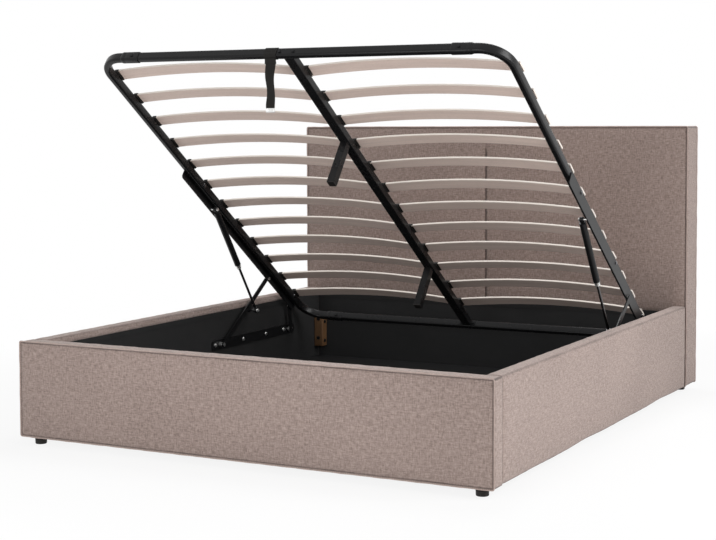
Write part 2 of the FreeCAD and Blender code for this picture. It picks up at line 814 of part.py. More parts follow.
def side_tube():
    """A side tube: one bent tube with eased corners and a widened socket at each end."""
    body = new_body()

    def wall(drawing, near, far):
        for inset in ("0", "tube_wall"):
            rise = f"(tube_top - {inset})"
            drawing.eased(f"{near} + {inset}", f"-{rise}", f"{far} - {inset}", rise,
                          f"tube_round - {inset}")

    run = Drawing(body, "XZ_Plane", "-(foot_line + bend_radius)")
    wall(run, "tube_inner", "tube_outer")
    pad(body, run, "head_line - foot_line - 2 * bend_radius", backwards=True)
    for line, start, backwards in (("foot_line", "foot_line + bend_radius", True),
                                   ("head_line", "head_line - bend_radius", False)):
        bend = Drawing(body, "XZ_Plane", f"-({start})", "bend_middle")
        wall(bend, "bend_radius - tube_width / 2", "bend_radius + tube_width / 2")
        quarter_turn(body, bend, backwards)
        stub = Drawing(body, "YZ_Plane", "insert_end")
        wall(stub, f"{line} - tube_width / 2", f"{line} + tube_width / 2")
        pad(body, stub, "bend_middle - insert_end")
        tube_socket(body, line)
    pair(on_raised_base(body), "side_tube")


def tube_socket(body, line):
    """Widen the end of a side tube, so that it takes the straight tube inside it."""
    for near, far, inside in (("joint_reach", "insert_end", "fit_clearance"),
                              ("insert_end", "joint_reach + socket_length", "-tube_wall")):
        drawing = Drawing(body, "YZ_Plane", near)
        for grow in ("fit_clearance + socket_wall", inside):
            half = f"(tube_width / 2 + {grow})"
            rise = f"(tube_top + {grow})"
            drawing.eased(f"{line} - {half}", f"-{rise}", f"{line} + {half}", rise,
                          f"tube_round + {grow}")
        pad(body, drawing, f"{far} - {near}")


def end_tube(line, label):
    """A straight tube across the foot or the head, its ends inside the sockets."""
    body = new_body()
    reach = "insert_end - fit_clearance"
    drawing = Drawing(body, "YZ_Plane", f"-({reach})")
    drawing.tube_section(f"{line} - tube_width / 2", "-tube_top", f"{line} + tube_width / 2",
                         "tube_top", "tube_round", "tube_wall")
    pad(body, drawing, f"2 * ({reach})")
    node(on_raised_base(body), label)


def centre_tube():
    """The tube along the middle, with a flange at each end against the foot and head tubes."""
    body = new_body()
    low = "tube_width + flange_thickness"
    drawing = Drawing(body, "XZ_Plane", f"-({low})")
    half = "centre_tube_width / 2"
    drawing.tube_section(f"-{half}", "centre_tube_under", half, "tube_top", "centre_tube_round",
                         "tube_wall")
    pad(body, drawing, f"frame_length - 2 * ({low})", backwards=True)
    flanges = []
    for near in ("tube_width", f"frame_length - ({low})"):
        flanges.append(box(("-flange_width / 2", near, "centre_tube_under"),
                           ("flange_width / 2", f"{near} + flange_thickness", "tube_top - tube_round")))
    node(on_raised_base(fuse(body, *flanges)), "centre_tube")


def frame_bolts():
    """The bolts of the tube joints and of the centre tube's flanges, with heads on both sides."""
    joint = "tube_width / 2 + fit_clearance + socket_wall"
    plain = "tube_width / 2"
    flange = "tube_width / 2 + flange_thickness"
    bolts = []
    for line, before, after in (("foot_line", plain, flange), ("head_line", flange, plain)):
        for x, low, high in (("joint_reach + insert_length / 2", joint, joint),
                             ("flange_bolt_spacing / 2", before, after)):
            bolts.append(along_nut("bolt_head_radius", f"{line} - ({low}) - bolt_head_thickness",
                                   f"{line} - ({low})", x, "0"))
            bolts.append(along_nut("bolt_head_radius", f"{line} + ({high})",
                                   f"{line} + ({high}) + bolt_head_thickness", x, "0"))
    node(on_raised_base(group(*both_sides(bolts))), "frame_bolts")


def slats():
    """The bowed slats of one side: an arc of a strip, repeated for each row."""
    body = new_body()
    drawing = Drawing(body, "XZ_Plane", "-first_slat_inset")
    middle = ("slat_middle", "slat_seat + slat_bow - slat_radius")
    top_radius = "slat_radius + slat_thickness"
    heights = [f"{middle[1]} + sqrt(({radius}) ^ 2 - (slat_span / 2) ^ 2)"
               for radius in ("slat_radius", top_radius)]
    for radius, height in zip(("slat_radius", top_radius), heights):
        drawing.bend(middle, ("slat_outer", height), ("slat_inner", height), radius)
    for x in ("slat_inner", "slat_outer"):
        drawing.line(x, heights[0], x, heights[1])
    strip = pad(body, drawing, "slat_width", symmetric=True)
    rows_of(body, strip)
    pair(on_raised_base(body), "slats")


def holders(near, far):
    """Open-ended sleeves on a tube that hold the slats' ends, one for each row."""
    body = new_body()
    drawing = Drawing(body, "YZ_Plane", near)
    half = "slat_width / 2 + fit_clearance"
    for reach, low, high in ((f"{half} + holder_wall", "tube_top", "holder_top"),
                             (half, "tube_top + holder_wall", "holder_top - holder_wall")):
        drawing.rectangle(f"first_slat_inset - ({reach})", low, f"first_slat_inset + ({reach})", high)
    sleeve = pad(body, drawing, f"({far}) - ({near})")
    rows_of(body, sleeve)
    return on_raised_base(body)


def centre_legs():
    """Square legs square to the base that stand on the box floor when it is closed."""
    half = "leg_size / 2"
    hollow = "leg_size / 2 - leg_wall"
    plug = f"({hollow} - fit_clearance)"
    legs = []
    caps = []
    for middle in ("front_leg_inset", "(frame_length - rear_leg_inset)"):
        outside = box((f"-{half}", f"{middle} - {half}", "leg_foot"),
                      (half, f"{middle} + {half}", "centre_tube_under"))
        inside = box((f"-({hollow})", f"{middle} - ({hollow})", "leg_foot"),
                     (hollow, f"{middle} + ({hollow})", "centre_tube_under - leg_wall"))
        legs.append(cut(outside, inside))
        caps.append(fuse(
            box((f"-{half}", f"{middle} - {half}", "leg_foot - cap_thickness"),
                (half, f"{middle} + {half}", "leg_foot")),
            box((f"-{plug}", f"{middle} - {plug}", "leg_foot"),
                (plug, f"{middle} + {plug}", "leg_foot + cap_plug"))))
    node(on_raised_base(group(*legs)), "centre_legs")
    node(on_raised_base(group(*caps)), "leg_caps")


# Pull strap

def strap():
    """The webbing loop round the foot tube, the strap that hangs from it and its metal end."""
    def draw(drawing):
        for grow, corner in (("fit_clearance", "tube_round"),
                             ("fit_clearance + loop_wall", "tube_round + loop_wall")):
            rise = f"(tube_top + {grow})"
            drawing.eased(f"-({grow})", f"-{rise}", f"tube_width + {grow}", rise, corner)

    loop = plate("strap_place - loop_width / 2", "strap_place + loop_width / 2", draw)
    node(on_raised_base(loop), "strap_loop")
    left, right = "strap_place - strap_width / 2", "strap_place + strap_width / 2"
    root = cross_pin(left, right, "strap_root_radius", "strap_root_y", "strap_root_z")
    web = box((left, "strap_root_y - strap_thickness / 2", "strap_end_z"),
              (right, "strap_root_y + strap_thickness / 2", "strap_root_z"))
    node(fuse(root, web), "pull_strap")
    clip = box(("strap_place - clip_width / 2", "strap_root_y - clip_thickness / 2",
                "strap_end_z - clip_height"),
               ("strap_place + clip_width / 2", "strap_root_y + clip_thickness / 2", "strap_end_z"))
    node(clip, "strap_clip")


def build():
    """Make every sub-part."""
    linings = [foot_panel(), headboard()] + side_panels()
    node(group(*linings), "box_linings")
    box_floor()
    feet()
    corner_blocks()
    base_rail()
    front_base_pivots()
    front_link()
    rear_link()
    strut_barrel()
    strut_rod()
    strut_studs()
    top_rail()
    rear_link_pivots()
    side_tube()
    end_tube("foot_line", "foot_tube")
    end_tube("head_line", "head_tube")
    centre_tube()
    frame_bolts()
    slats()
    side_end = "tube_outer - holder_inset"
    pair(holders(f"{side_end} - holder_length", side_end), "slat_holders")
    node(holders("-centre_holder_length / 2", "centre_holder_length / 2"), "centre_slat_holders")
    centre_legs()
    strap()
    doc.recompute()


def check():
    """Stop if an object failed or a sub-part has no sound shape."""
    failed = [item.Name for item in doc.Objects if {"Invalid", "Error"} & set(item.State)]
    failed += [item.Label for item in nodes if item.Shape.isNull() or not item.Shape.isValid()]
    if failed:
        raise RuntimeError("failed: " + ", ".join(failed))


def export():
    """Write each sub-part to its own file."""
    os.makedirs("parts", exist_ok=True)
    for item in nodes:
        item.Shape.exportStep(f"parts/{item.Label}.step")
        print(item.Label, len(item.Shape.Solids), round(item.Shape.Volume))


build()
check()
export()
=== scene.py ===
"""A double bed with a lift-up slatted base: its covers, slats, fittings and finishes on the frame."""
import functools
import json
import math

import bmesh
import bpy
import numpy as np
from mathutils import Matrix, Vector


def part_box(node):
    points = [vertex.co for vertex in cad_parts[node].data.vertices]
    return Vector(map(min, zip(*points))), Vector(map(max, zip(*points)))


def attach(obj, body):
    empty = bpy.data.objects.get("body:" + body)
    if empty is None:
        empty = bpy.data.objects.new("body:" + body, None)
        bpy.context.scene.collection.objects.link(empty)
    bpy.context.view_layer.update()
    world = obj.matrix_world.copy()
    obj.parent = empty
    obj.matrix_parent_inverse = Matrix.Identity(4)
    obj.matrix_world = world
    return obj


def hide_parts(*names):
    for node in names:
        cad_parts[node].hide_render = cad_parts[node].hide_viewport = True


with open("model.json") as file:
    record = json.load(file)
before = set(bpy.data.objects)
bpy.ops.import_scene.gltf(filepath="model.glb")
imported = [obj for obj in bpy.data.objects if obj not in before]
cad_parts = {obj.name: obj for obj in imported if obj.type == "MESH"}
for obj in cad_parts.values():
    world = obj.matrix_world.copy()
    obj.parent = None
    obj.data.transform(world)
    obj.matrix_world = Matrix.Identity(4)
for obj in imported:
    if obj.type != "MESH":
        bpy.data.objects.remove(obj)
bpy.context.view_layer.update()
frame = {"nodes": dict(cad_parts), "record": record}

bl_info = {
    "name": "Lift-up storage bed",
    "version": (1, 0, 0),
    "blender": (4, 5, 0),
    "location": "View3D > Sidebar > Bed",
    "description": "Dresses the bed's frame with padded covers, slats, webbing and finishes",
    "category": "Object",
}

RECORD = frame["record"]
JOINTS = {joint["name"]: joint for joint in RECORD["behaviour"]["joints"]}
SLOTS = {part["node"]: part["material_slot"] for part in RECORD["subparts"]}
SIDES = {"left": -1.0, "right": 1.0}
ACROSS = np.array([1.0, 0.0, 0.0])
UPRIGHT = np.array([0.0, 0.0, 1.0])


# Sizes and colours that a user would change

class BedFabric(bpy.types.PropertyGroup):
    """The woven cover and its seams."""
    light: bpy.props.FloatVectorProperty(
        name="Light yarn", description="Colour of the lighter yarn", subtype="COLOR",
        default=(0.500, 0.392, 0.352), min=0, max=1)
    dark: bpy.props.FloatVectorProperty(
        name="Dark yarn", description="Colour of the darker yarn", subtype="COLOR",
        default=(0.205, 0.152, 0.133), min=0, max=1)
    pitch: bpy.props.FloatProperty(
        name="Thread pitch", description="Distance between neighbouring threads",
        default=0.0021, unit="LENGTH")
    roll: bpy.props.FloatProperty(
        name="Edge roll", description="Width over which a padded face rolls down to its seam",
        default=0.016, unit="LENGTH")
    lip: bpy.props.FloatProperty(
        name="Seam lip", description="Height of the sewn lip along a seam", default=0.0066,
        unit="LENGTH")
    channel: bpy.props.FloatProperty(
        name="Channel", description="Depth of the headboard's sewn channel", default=0.009,
        unit="LENGTH")


class BedWood(bpy.types.PropertyGroup):
    """The slats and the corner blocks."""
    face: bpy.props.FloatVectorProperty(
        name="Slat face", description="Colour of a slat's broad faces", subtype="COLOR",
        default=(0.770, 0.622, 0.552), min=0, max=1)
    # Paler than the faces: partly the laminated layers, partly a painted highlight on the edges.
    edge: bpy.props.FloatVectorProperty(
        name="Slat edge", description="Colour of a slat's planed edges", subtype="COLOR",
        default=(0.860, 0.790, 0.720), min=0, max=1)
    block: bpy.props.FloatVectorProperty(
        name="Block", description="Colour of the corner blocks", subtype="COLOR",
        default=(0.105, 0.052, 0.020), min=0, max=1)
    bow: bpy.props.FloatProperty(
        name="Bow", description="How far a slat's middle stands above its ends", default=0.028,
        unit="LENGTH")
    rounding: bpy.props.FloatProperty(
        name="Edge rounding", description="Radius along a slat's edges", default=0.0018,
        unit="LENGTH")


class BedMetal(bpy.types.PropertyGroup):
    """The steel frame, the lift and the fasteners."""
    coat: bpy.props.FloatVectorProperty(
        name="Powder coat", description="Colour of the coated steel", subtype="COLOR",
        default=(0.0075, 0.0075, 0.0080), min=0, max=1)
    zinc: bpy.props.FloatVectorProperty(
        name="Zinc", description="Colour of plated fasteners", subtype="COLOR",
        default=(0.740, 0.740, 0.730), min=0, max=1)
    rod: bpy.props.FloatVectorProperty(
        name="Rod", description="Colour of the struts' rods", subtype="COLOR",
        default=(0.120, 0.120, 0.125), min=0, max=1)


class BedStudio(bpy.types.PropertyGroup):
    """The camera and the lamps."""
    eye: bpy.props.FloatVectorProperty(
        name="Camera", description="Place of the camera", subtype="XYZ", unit="LENGTH",
        default=(2.8183, -5.5976, 1.1841))
    yaw: bpy.props.FloatProperty(
        name="Yaw", description="Turn of the camera to the left", subtype="ANGLE",
        default=math.radians(27.842))
    pitch: bpy.props.FloatProperty(
        name="Pitch", description="Tilt of the camera downwards", subtype="ANGLE",
        default=math.radians(3.041))
    roll: bpy.props.FloatProperty(
        name="Roll", description="Tilt of the camera", subtype="ANGLE", default=math.radians(0.183))
    lens: bpy.props.FloatProperty(
        name="Focal length", description="Focal length in millimetres", default=77.837)
    shift: bpy.props.FloatProperty(
        name="Shift", description="Upward shift of the lens", default=-0.09)
    key: bpy.props.FloatProperty(
        name="Key lamp", description="Power of the lamp at the right", unit="POWER", default=106.0)
    fill: bpy.props.FloatProperty(
        name="Fill lamp", description="Power of the lamp in front", unit="POWER", default=30.0)
    overhead: bpy.props.FloatProperty(
        name="Top lamp", description="Power of the lamp overhead", unit="POWER", default=96.0)
    sky: bpy.props.FloatProperty(
        name="Sky", description="Strength of the even light all round", default=0.40)


GROUPS = {"bed_fabric": BedFabric, "bed_wood": BedWood, "bed_metal": BedMetal,
          "bed_studio": BedStudio}


# Finishes

# Stitches in a metre of a sewn lip
STITCHES = 145.0


class Socket:
    """A node's output socket: arithmetic on it adds Math nodes."""

    def __init__(self, finish, socket):
        self.finish = finish
        self.socket = socket

    def math(self, operation, *inputs):
        """Add one Math node."""
        return self.finish.node("ShaderNodeMath", {"operation": operation}, dict(enumerate(inputs)))

    def __add__(self, other):
        return self.math("ADD", self, other)

    def __sub__(self, other):
        return self.math("SUBTRACT", self, other)

    def __rsub__(self, other):
        return self.math("SUBTRACT", other, self)

    def __mul__(self, other):
        return self.math("MULTIPLY", self, other)

    def __truediv__(self, other):
        return self.math("DIVIDE", self, other)

    def __rtruediv__(self, other):
        return self.math("DIVIDE", other, self)

    def __lt__(self, other):
        return self.math("LESS_THAN", self, other)

    def __gt__(self, other):
        return self.math("GREATER_THAN", self, other)

    def __abs__(self):
        return self.math("ABSOLUTE", self)

    __radd__ = __add__
    __rmul__ = __mul__

    def sin(self):
        """The sine of an angle in radians."""
        return self.math("SINE", self)

    def fraction(self):
        """What is left after the whole number."""
        return self.math("FRACT", self)

    def limit(self):
        """Hold the value between 0 and 1."""
        return self.finish.node("ShaderNodeClamp", {}, {0: self})


class Finish:
    """A procedural material, or the world, built through one method that adds nodes."""

    def __init__(self, name, kind="materials"):
        self.made = getattr(bpy.data, kind).new(name)
        self.made.use_nodes = True
        self.tree = self.made.node_tree
        self.tree.nodes.clear()

    def node(self, kind, settings, inputs, output=0):
        """Add a node of a type: its settings first, then its sockets' values or links."""
        node = self.tree.nodes.new(kind)
        for key, setting in settings.items():
            if key == "stops":
                self.set_stops(node.color_ramp, setting)
            else:
                setattr(node, key, setting)
        for key, value in inputs.items():
            if isinstance(value, Socket):
                self.tree.links.new(value.socket, node.inputs[key])
            else:
                node.inputs[key].default_value = value
        return Socket(self, node.outputs[output]) if len(node.outputs) else node

    @staticmethod
    def set_stops(ramp, stops):
        """Set a colour ramp's stops from pairs of position and grey."""
        while len(ramp.elements) < len(stops):
            ramp.elements.new(1.0)
        for element, (position, grey) in zip(ramp.elements, stops):
            element.position = position
            element.color = (grey, grey, grey, 1)

    def seen(self):
        """1 where the camera, a reflection or a clear piece looks, and 0 for other light."""
        rays = [self.node("ShaderNodeLightPath", {}, {}, name)
                for name in ("Is Camera Ray", "Is Glossy Ray", "Is Transmission Ray")]
        return (rays[0] + rays[1] + rays[2]).limit()

    def coordinates(self):
        """The piece's own coordinates in metres."""
        return self.node("ShaderNodeTexCoord", {}, {}, "Object")

    def surface(self, name):
        """A UV map in metres along the surface."""
        return self.node("ShaderNodeUVMap", {"uv_map": name}, {})

    def attribute(self, name):
        """A number kept on the mesh."""
        return self.node("ShaderNodeAttribute", {"attribute_name": name}, {}, "Fac")

    def part(self, vector, letter):
        """One component of a vector."""
        return self.node("ShaderNodeSeparateXYZ", {}, {0: vector}, letter)

    def noise(self, vector, scale, detail, roughness):
        """Smooth noise from 0 to 1; a scale of three numbers stretches it along the axes."""
        if isinstance(scale, tuple):
            vector = self.node("ShaderNodeVectorMath", {"operation": "MULTIPLY"}, {0: vector, 1: scale})
            scale = 1.0
        return self.node("ShaderNodeTexNoise", {"noise_dimensions": "3D"},
                         {"Vector": vector, "Scale": scale, "Detail": detail, "Roughness": roughness})

    def cells(self, vector, scale):
        """Distance from the middle of the nearest of many scattered cells."""
        return self.node("ShaderNodeTexVoronoi", {"feature": "F1"}, {"Vector": vector, "Scale": scale})

    def ramp(self, value, *stops):
        """A value through a ramp of greys."""
        return self.node("ShaderNodeValToRGB", {"stops": stops}, {0: value})

    def mix(self, factor, first, second):
        """Two colours mixed by a factor."""
        colours = [c if isinstance(c, Socket) else (*c, 1) for c in (first, second)]
        return self.node("ShaderNodeMix", {"data_type": "RGBA"},
                         {0: factor, 6: colours[0], 7: colours[1]}, 2)

    def shade(self, colour, roughness, height, depth, strength, **fixed):
        """Finish the tree: colour, roughness, a bump from a height, and fixed shader values."""
        bump = {"Height": height, "Distance": depth, "Strength": strength}
        inputs = {"Base Color": colour, "Roughness": roughness,
                  "Normal": self.node("ShaderNodeBump", {}, bump)}
        inputs.update({key.replace("_", " "): value for key, value in fixed.items()})
        shader = self.node("ShaderNodeBsdfPrincipled", {}, inputs)
        self.node("ShaderNodeOutputMaterial", {}, {"Surface": shader})
        return self.made


def tint(colour, factor):
    """A colour made darker or lighter."""
    return tuple(min(1.0, c * factor) for c in colour)


def upholstery_finish():
    """Heathered plain weave: two yarns crossing, slubs along both, painted shade at the seams, a painted
    highlight on the lips, stitches.
    """
    look = bpy.context.scene.bed_fabric
    cloth = Finish("upholstery")
    place = cloth.surface("Weave")
    u, v = cloth.part(place, "X"), cloth.part(place, "Y")
    turn = math.pi / look.pitch
    warp, weft = (u * turn).sin(), (v * turn).sin()
    over = (warp * weft) > 0.0
    threads = over * warp * warp + (1.0 - over) * weft * weft
    along = cloth.noise(place, (75.0, 430.0, 1.0), 3.0, 0.65)
    across = cloth.noise(place, (430.0, 75.0, 1.0), 3.0, 0.65)
    flecks = cloth.ramp(along * over + across * (1.0 - over), (0.33, 0.0), (0.52, 0.55), (0.68, 1.0))
    lying = cloth.noise(place, (46.0, 205.0, 1.0), 3.0, 0.6)
    upright = cloth.noise(place, (205.0, 46.0, 1.0), 3.0, 0.6)
    slubs = cloth.ramp(lying * 0.5 + upright * 0.5, (0.39, 0.0), (0.50, 0.5), (0.61, 1.0))
    cast = cloth.noise(cloth.coordinates(), 2.2, 2.0, 0.5)
    yarn = (flecks * 0.54 + slubs * 0.62 + cast * 0.36 - 0.31 + threads * 0.10).limit()
    colour = cloth.mix(yarn, look.dark, look.light)
    # Painted shade: the seam value darkens the cloth along the seams, along the headboard's channel and at
    # the root of each lip.
    colour = cloth.mix(cloth.attribute("seam") * 0.92, colour, tint(look.dark, 0.16))
    lip = cloth.attribute("lip")
    # Painted highlight: the outer part of each lip is painted paler than the cloth.
    colour = cloth.mix((lip * 3.0 - 0.6).limit() * 0.5, colour, tint(look.light, 1.25))
    stitches = ((u * STITCHES).fraction() < 0.62) * (abs(lip - 0.5) < 0.09)
    colour = cloth.mix(stitches * 0.55, colour, tint(look.dark, 0.55))
    height = threads * 0.5 + along * 0.3 + across * 0.3 + stitches * 0.5
    return cloth.shade(colour, 0.93 - flecks * 0.05, height, 0.0009, 0.55, Sheen_Weight=0.25,
                       Sheen_Roughness=0.5, Specular_IOR_Level=0.2)


def lining_finish():
    """Thin black non-woven cloth with a fine embossed grid and stray fibres."""
    cloth = Finish("lining")
    place = cloth.coordinates()
    fibres = cloth.noise(place, 420.0, 4.0, 0.7)
    dots = cloth.cells(place, 330.0)
    broad = cloth.noise(place, 6.0, 3.0, 0.6)
    colour = cloth.mix(fibres * 0.5 + broad * 0.5, (0.0105, 0.0105, 0.0110), (0.0215, 0.0215, 0.0220))
    return cloth.shade(colour, 0.86 - broad * 0.12, dots * 0.6 + fibres * 0.4, 0.0006, 0.5,
                       Specular_IOR_Level=0.3)


def webbing_finish():
    """Black webbing: ribs of yarn along the band with a herringbone slant."""
    band = Finish("webbing")
    place = band.surface("Weave")
    u, v = band.part(place, "X"), band.part(place, "Y")
    ribs = abs(((u + abs((v * 260.0).fraction() - 0.5) * 0.0016) * 1250.0).sin())
    fuzz = band.noise(place, 900.0, 3.0, 0.6)
    colour = band.mix(ribs * 0.6 + fuzz * 0.4, (0.004, 0.004, 0.004), (0.022, 0.020, 0.018))
    return band.shade(colour, 0.82 - ribs * 0.12, ribs * 0.7 + fuzz * 0.3, 0.0008, 0.7,
                      Specular_IOR_Level=0.2)


def slat_finish():
    """Pale laminated birch: grain along the slat on the faces, and glued layers on the edges, whose paler
    colour is partly the layers and partly a painted highlight.
    """
    look = bpy.context.scene.bed_wood
    birch = Finish("birch")
    place = birch.surface("Grain")
    fine = birch.noise(place, (9.0, 620.0, 1.0), 4.0, 0.65)
    bands = birch.noise(place, (2.2, 75.0, 1.0), 3.0, 0.55)
    pores = birch.ramp(birch.noise(place, (60.0, 1500.0, 1.0), 2.0, 0.5), (0.34, 1.0), (0.46, 0.0))
    face = birch.mix((fine * 0.55 + bands * 0.75 - 0.15).limit(), tint(look.face, 0.76),
                     tint(look.face, 1.18))
    face = birch.mix(pores * 0.25, face, tint(look.face, 0.50))
    layers = abs((birch.part(place, "Y") * 2100.0).sin())
    rim = birch.mix(layers * 0.35 + fine * 0.35, look.edge, tint(look.edge, 0.80))
    # The edges and ends take the paler colour: partly the laminated layers, partly a painted highlight.
    colour = birch.mix(birch.attribute("edge"), face, rim)
    return birch.shade(colour, 0.50 + bands * 0.16, fine * 0.6 + bands * 0.2 - pores * 0.4, 0.0004,
                       0.45, Coat_Roughness=0.4, Coat_Weight=0.12)


def block_finish():
    """Planed brown hardwood: grain running upwards, with darker pores."""
    look = bpy.context.scene.bed_wood
    wood = Finish("timber")
    place = wood.coordinates()
    rings = wood.noise(place, (46.0, 46.0, 3.2), 4.0, 0.6)
    fine = wood.noise(place, (420.0, 420.0, 14.0), 3.0, 0.6)
    colour = wood.mix((rings * 0.8 + fine * 0.4 - 0.1).limit(), tint(look.block, 0.45),
                      tint(look.block, 1.75))
    return wood.shade(colour, 0.48 + rings * 0.2, rings * 0.4 + fine * 0.6, 0.0006, 0.5)


def board_finish():
    """Raw particle board: pressed chips of several browns."""
    board = Finish("board")
    place = board.coordinates()
    chips = board.cells(place, 260.0)
    tone = board.noise(place, 190.0, 4.0, 0.7)
    colour = board.mix(chips * 0.5 + tone * 0.5, (0.24, 0.15, 0.08), (0.52, 0.37, 0.22))
    return board.shade(colour, 0.8 - chips * 0.1, chips * 0.5 + tone * 0.5, 0.0007, 0.6)


def floor_finish():
    """Black-faced hardboard: a faint pressed texture with dusty patches."""
    board = Finish("storage_floor")
    place = board.coordinates()
    press = board.noise(place, 700.0, 3.0, 0.6)
    dust = board.noise(place, 4.5, 4.0, 0.6)
    colour = board.mix(dust * 0.7 + press * 0.3, (0.0045, 0.0045, 0.0048), (0.0105, 0.0105, 0.0110))
    return board.shade(colour, 0.62 + dust * 0.14, press, 0.0003, 0.4, Specular_IOR_Level=0.2)


def coat_finish(name, factor, shine):
    """Satin black powder coat: fine orange peel, a little dust and rubbed patches."""
    look = bpy.context.scene.bed_metal
    coat = Finish(name)
    place = coat.coordinates()
    peel = coat.noise(place, 520.0, 2.0, 0.5)
    rub = coat.noise(place, 9.0, 4.0, 0.6)
    colour = coat.mix(rub * 0.8 + peel * 0.2, tint(look.coat, 0.75 * factor),
                      tint(look.coat, 1.5 * factor))
    return coat.shade(colour, shine + rub * 0.14, peel, 0.0003, 0.25, Specular_IOR_Level=0.20)


def zinc_finish():
    """Bright zinc plate: a cloudy sheen with fine tool marks."""
    look = bpy.context.scene.bed_metal
    zinc = Finish("zinc")
    place = zinc.coordinates()
    cloud = zinc.noise(place, 160.0, 3.0, 0.6)
    marks = zinc.noise(place, (900.0, 2600.0, 900.0), 2.0, 0.6)
    colour = zinc.mix(cloud, tint(look.zinc, 0.78), tint(look.zinc, 1.12))
    return zinc.shade(colour, 0.26 + cloud * 0.22, marks, 0.0002, 0.3, Metallic=1.0)


def rod_finish():
    """Dark polished rod: nearly smooth, with faint wiping marks along it."""
    look = bpy.context.scene.bed_metal
    rod = Finish("strut_rod")
    wipe = rod.noise(rod.coordinates(), (1500.0, 60.0, 60.0), 2.0, 0.5)
    colour = rod.mix(wipe, tint(look.rod, 0.8), tint(look.rod, 1.2))
    return rod.shade(colour, 0.16 + wipe * 0.12, wipe, 0.0001, 0.2, Metallic=1.0)


def plastic_finish():
    """Moulded black plastic: a fine spark texture with slightly shiny rubbed spots."""
    plastic = Finish("black_plastic")
    place = plastic.coordinates()
    spark = plastic.noise(place, 1300.0, 2.0, 0.6)
    rub = plastic.noise(place, 45.0, 3.0, 0.6)
    colour = plastic.mix(rub * 0.6 + spark * 0.4, (0.008, 0.0075, 0.0070), (0.022, 0.0195, 0.0180))
    return plastic.shade(colour, 0.46 + rub * 0.18, spark, 0.0003, 0.45, Specular_IOR_Level=0.25)


FINISHES = {
    "upholstery": upholstery_finish,
    "lining": lining_finish,
    "webbing": webbing_finish,
    "birch": slat_finish,
    "timber": block_finish,
    "board": board_finish,
    "floor": floor_finish,
    "black_tube": lambda: coat_finish("tube_coat", 1.0, 0.20),
    "lift_steel": lambda: coat_finish("lift_coat", 1.1, 0.26),
    "zinc": zinc_finish,
    "dark_rod": rod_finish,
    "black_plastic": plastic_finish,
}


@functools.cache
def finish_for(slot):
    """The material of a slot, made once."""
    return FINISHES[slot]()


# Surfaces worked out as arrays

class Surface:
    """Arrays of points, faces and values that join into one mesh."""

    def __init__(self):
        self.points, self.faces, self.maps, self.values = [], [], [], {}
        self.count = 0

    def add(self, points, faces, map_uv=None, **values):
        """Append a patch: points, lists of faces, surface coordinates and values at each point.

        Every patch of a surface has the same values.
        """
        number = points.size // 3
        for group in faces:
            self.faces += (np.asarray(group, int) + self.count).tolist()
        self.points.append(points.reshape(number, 3))
        self.maps.append(np.zeros((number, 2)) if map_uv is None else map_uv.reshape(number, 2))
        for key, value in values.items():
            self.values.setdefault(key, []).append(np.broadcast_to(np.ravel(value), (number,)))
        self.count += number

    def solid(self, points, map_uv=None, wrap_rows=False, **values):
        """Append a closed form: a grid round its columns, closed at its ends or round its rows.

        Its volume, a sixth of the sum of a . (b x c) over its triangles, tells which way it faces.
        """
        rows, columns = points.shape[:2]
        quads = grid_faces(rows, columns, wrap_rows, True)
        ring = np.arange(columns)
        caps = [] if wrap_rows else [ring.tolist(), (ring[::-1] + (rows - 1) * columns).tolist()]
        flat = points.reshape(-1, 3) - points.reshape(-1, 3).mean(0)
        a, b, c, d = (flat[quads[:, k]] for k in range(4))
        volume = np.sum(a * (np.cross(b, c) + np.cross(c, d)))
        for cap in caps:
            fan = flat[cap]
            volume += np.sum(fan[0] * np.cross(fan[1:-1], fan[2:]))
        if volume < 0:
            quads, caps = quads[:, ::-1], [cap[::-1] for cap in caps]
        self.add(points, [quads, caps], map_uv, **values)

    def piece(self, name, body, slot, replaces=(), map_name="Weave", merge=0.0, sharp=50.0):
        """Make the mesh object: it rides on a body, takes a slot's finish and replaces CAD nodes."""
        mesh = bpy.data.meshes.new(name)
        mesh.from_pydata(np.concatenate(self.points).tolist(), [], self.faces)
        corners = np.empty(len(mesh.loops), int)
        mesh.loops.foreach_get("vertex_index", corners)
        layer = mesh.uv_layers.new(name=map_name)
        layer.data.foreach_set("uv", np.concatenate(self.maps)[corners].ravel())
        for key, rows in self.values.items():
            mesh.attributes.new(key, "FLOAT", "POINT").data.foreach_set("value", np.concatenate(rows))
        if merge:
            joined = bmesh.new()
            joined.from_mesh(mesh)
            bmesh.ops.remove_doubles(joined, verts=joined.verts, dist=merge)
            joined.to_mesh(mesh)
            joined.free()
        mesh.validate()
        mesh.shade_smooth()
        mesh.set_sharp_from_angle(angle=math.radians(sharp))
        mesh.materials.append(finish_for(slot))
        thing = bpy.data.objects.new(name, mesh)
        bpy.context.scene.collection.objects.link(thing)
        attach(thing, body)
        if replaces:
            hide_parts(*replaces)
        return thing


def grid_faces(rows, columns, wrap_rows=False, wrap_columns=False):
    """Quads of a grid of points, row by row, closed round in either direction."""
    across = np.arange(rows if wrap_rows else rows - 1)
    along = np.arange(columns if wrap_columns else columns - 1)
    i, j = (part.ravel() for part in np.meshgrid(across, along, indexing="ij"))
    k, m = (i + 1) % rows, (j + 1) % columns
    return np.stack([i * columns + j, k * columns + j, k * columns + m, i * columns + m], 1)


def stations(start, stop, step, ends=(), marks=(), nearest=6e-4):
    """Positions from start to stop: even steps, and closer ones near both ends and the marks."""
    even = np.linspace(start, stop, max(2, int(round((stop - start) / step)) + 1))
    offsets = np.asarray(ends, float)
    points = np.concatenate([even, start + offsets, stop - offsets, np.asarray(marks, float)])
    points = np.sort(points[(points >= start) & (points <= stop)])
    points = points[np.insert(np.diff(points) > nearest, 0, True)]
    points[-1] = stop
    return points


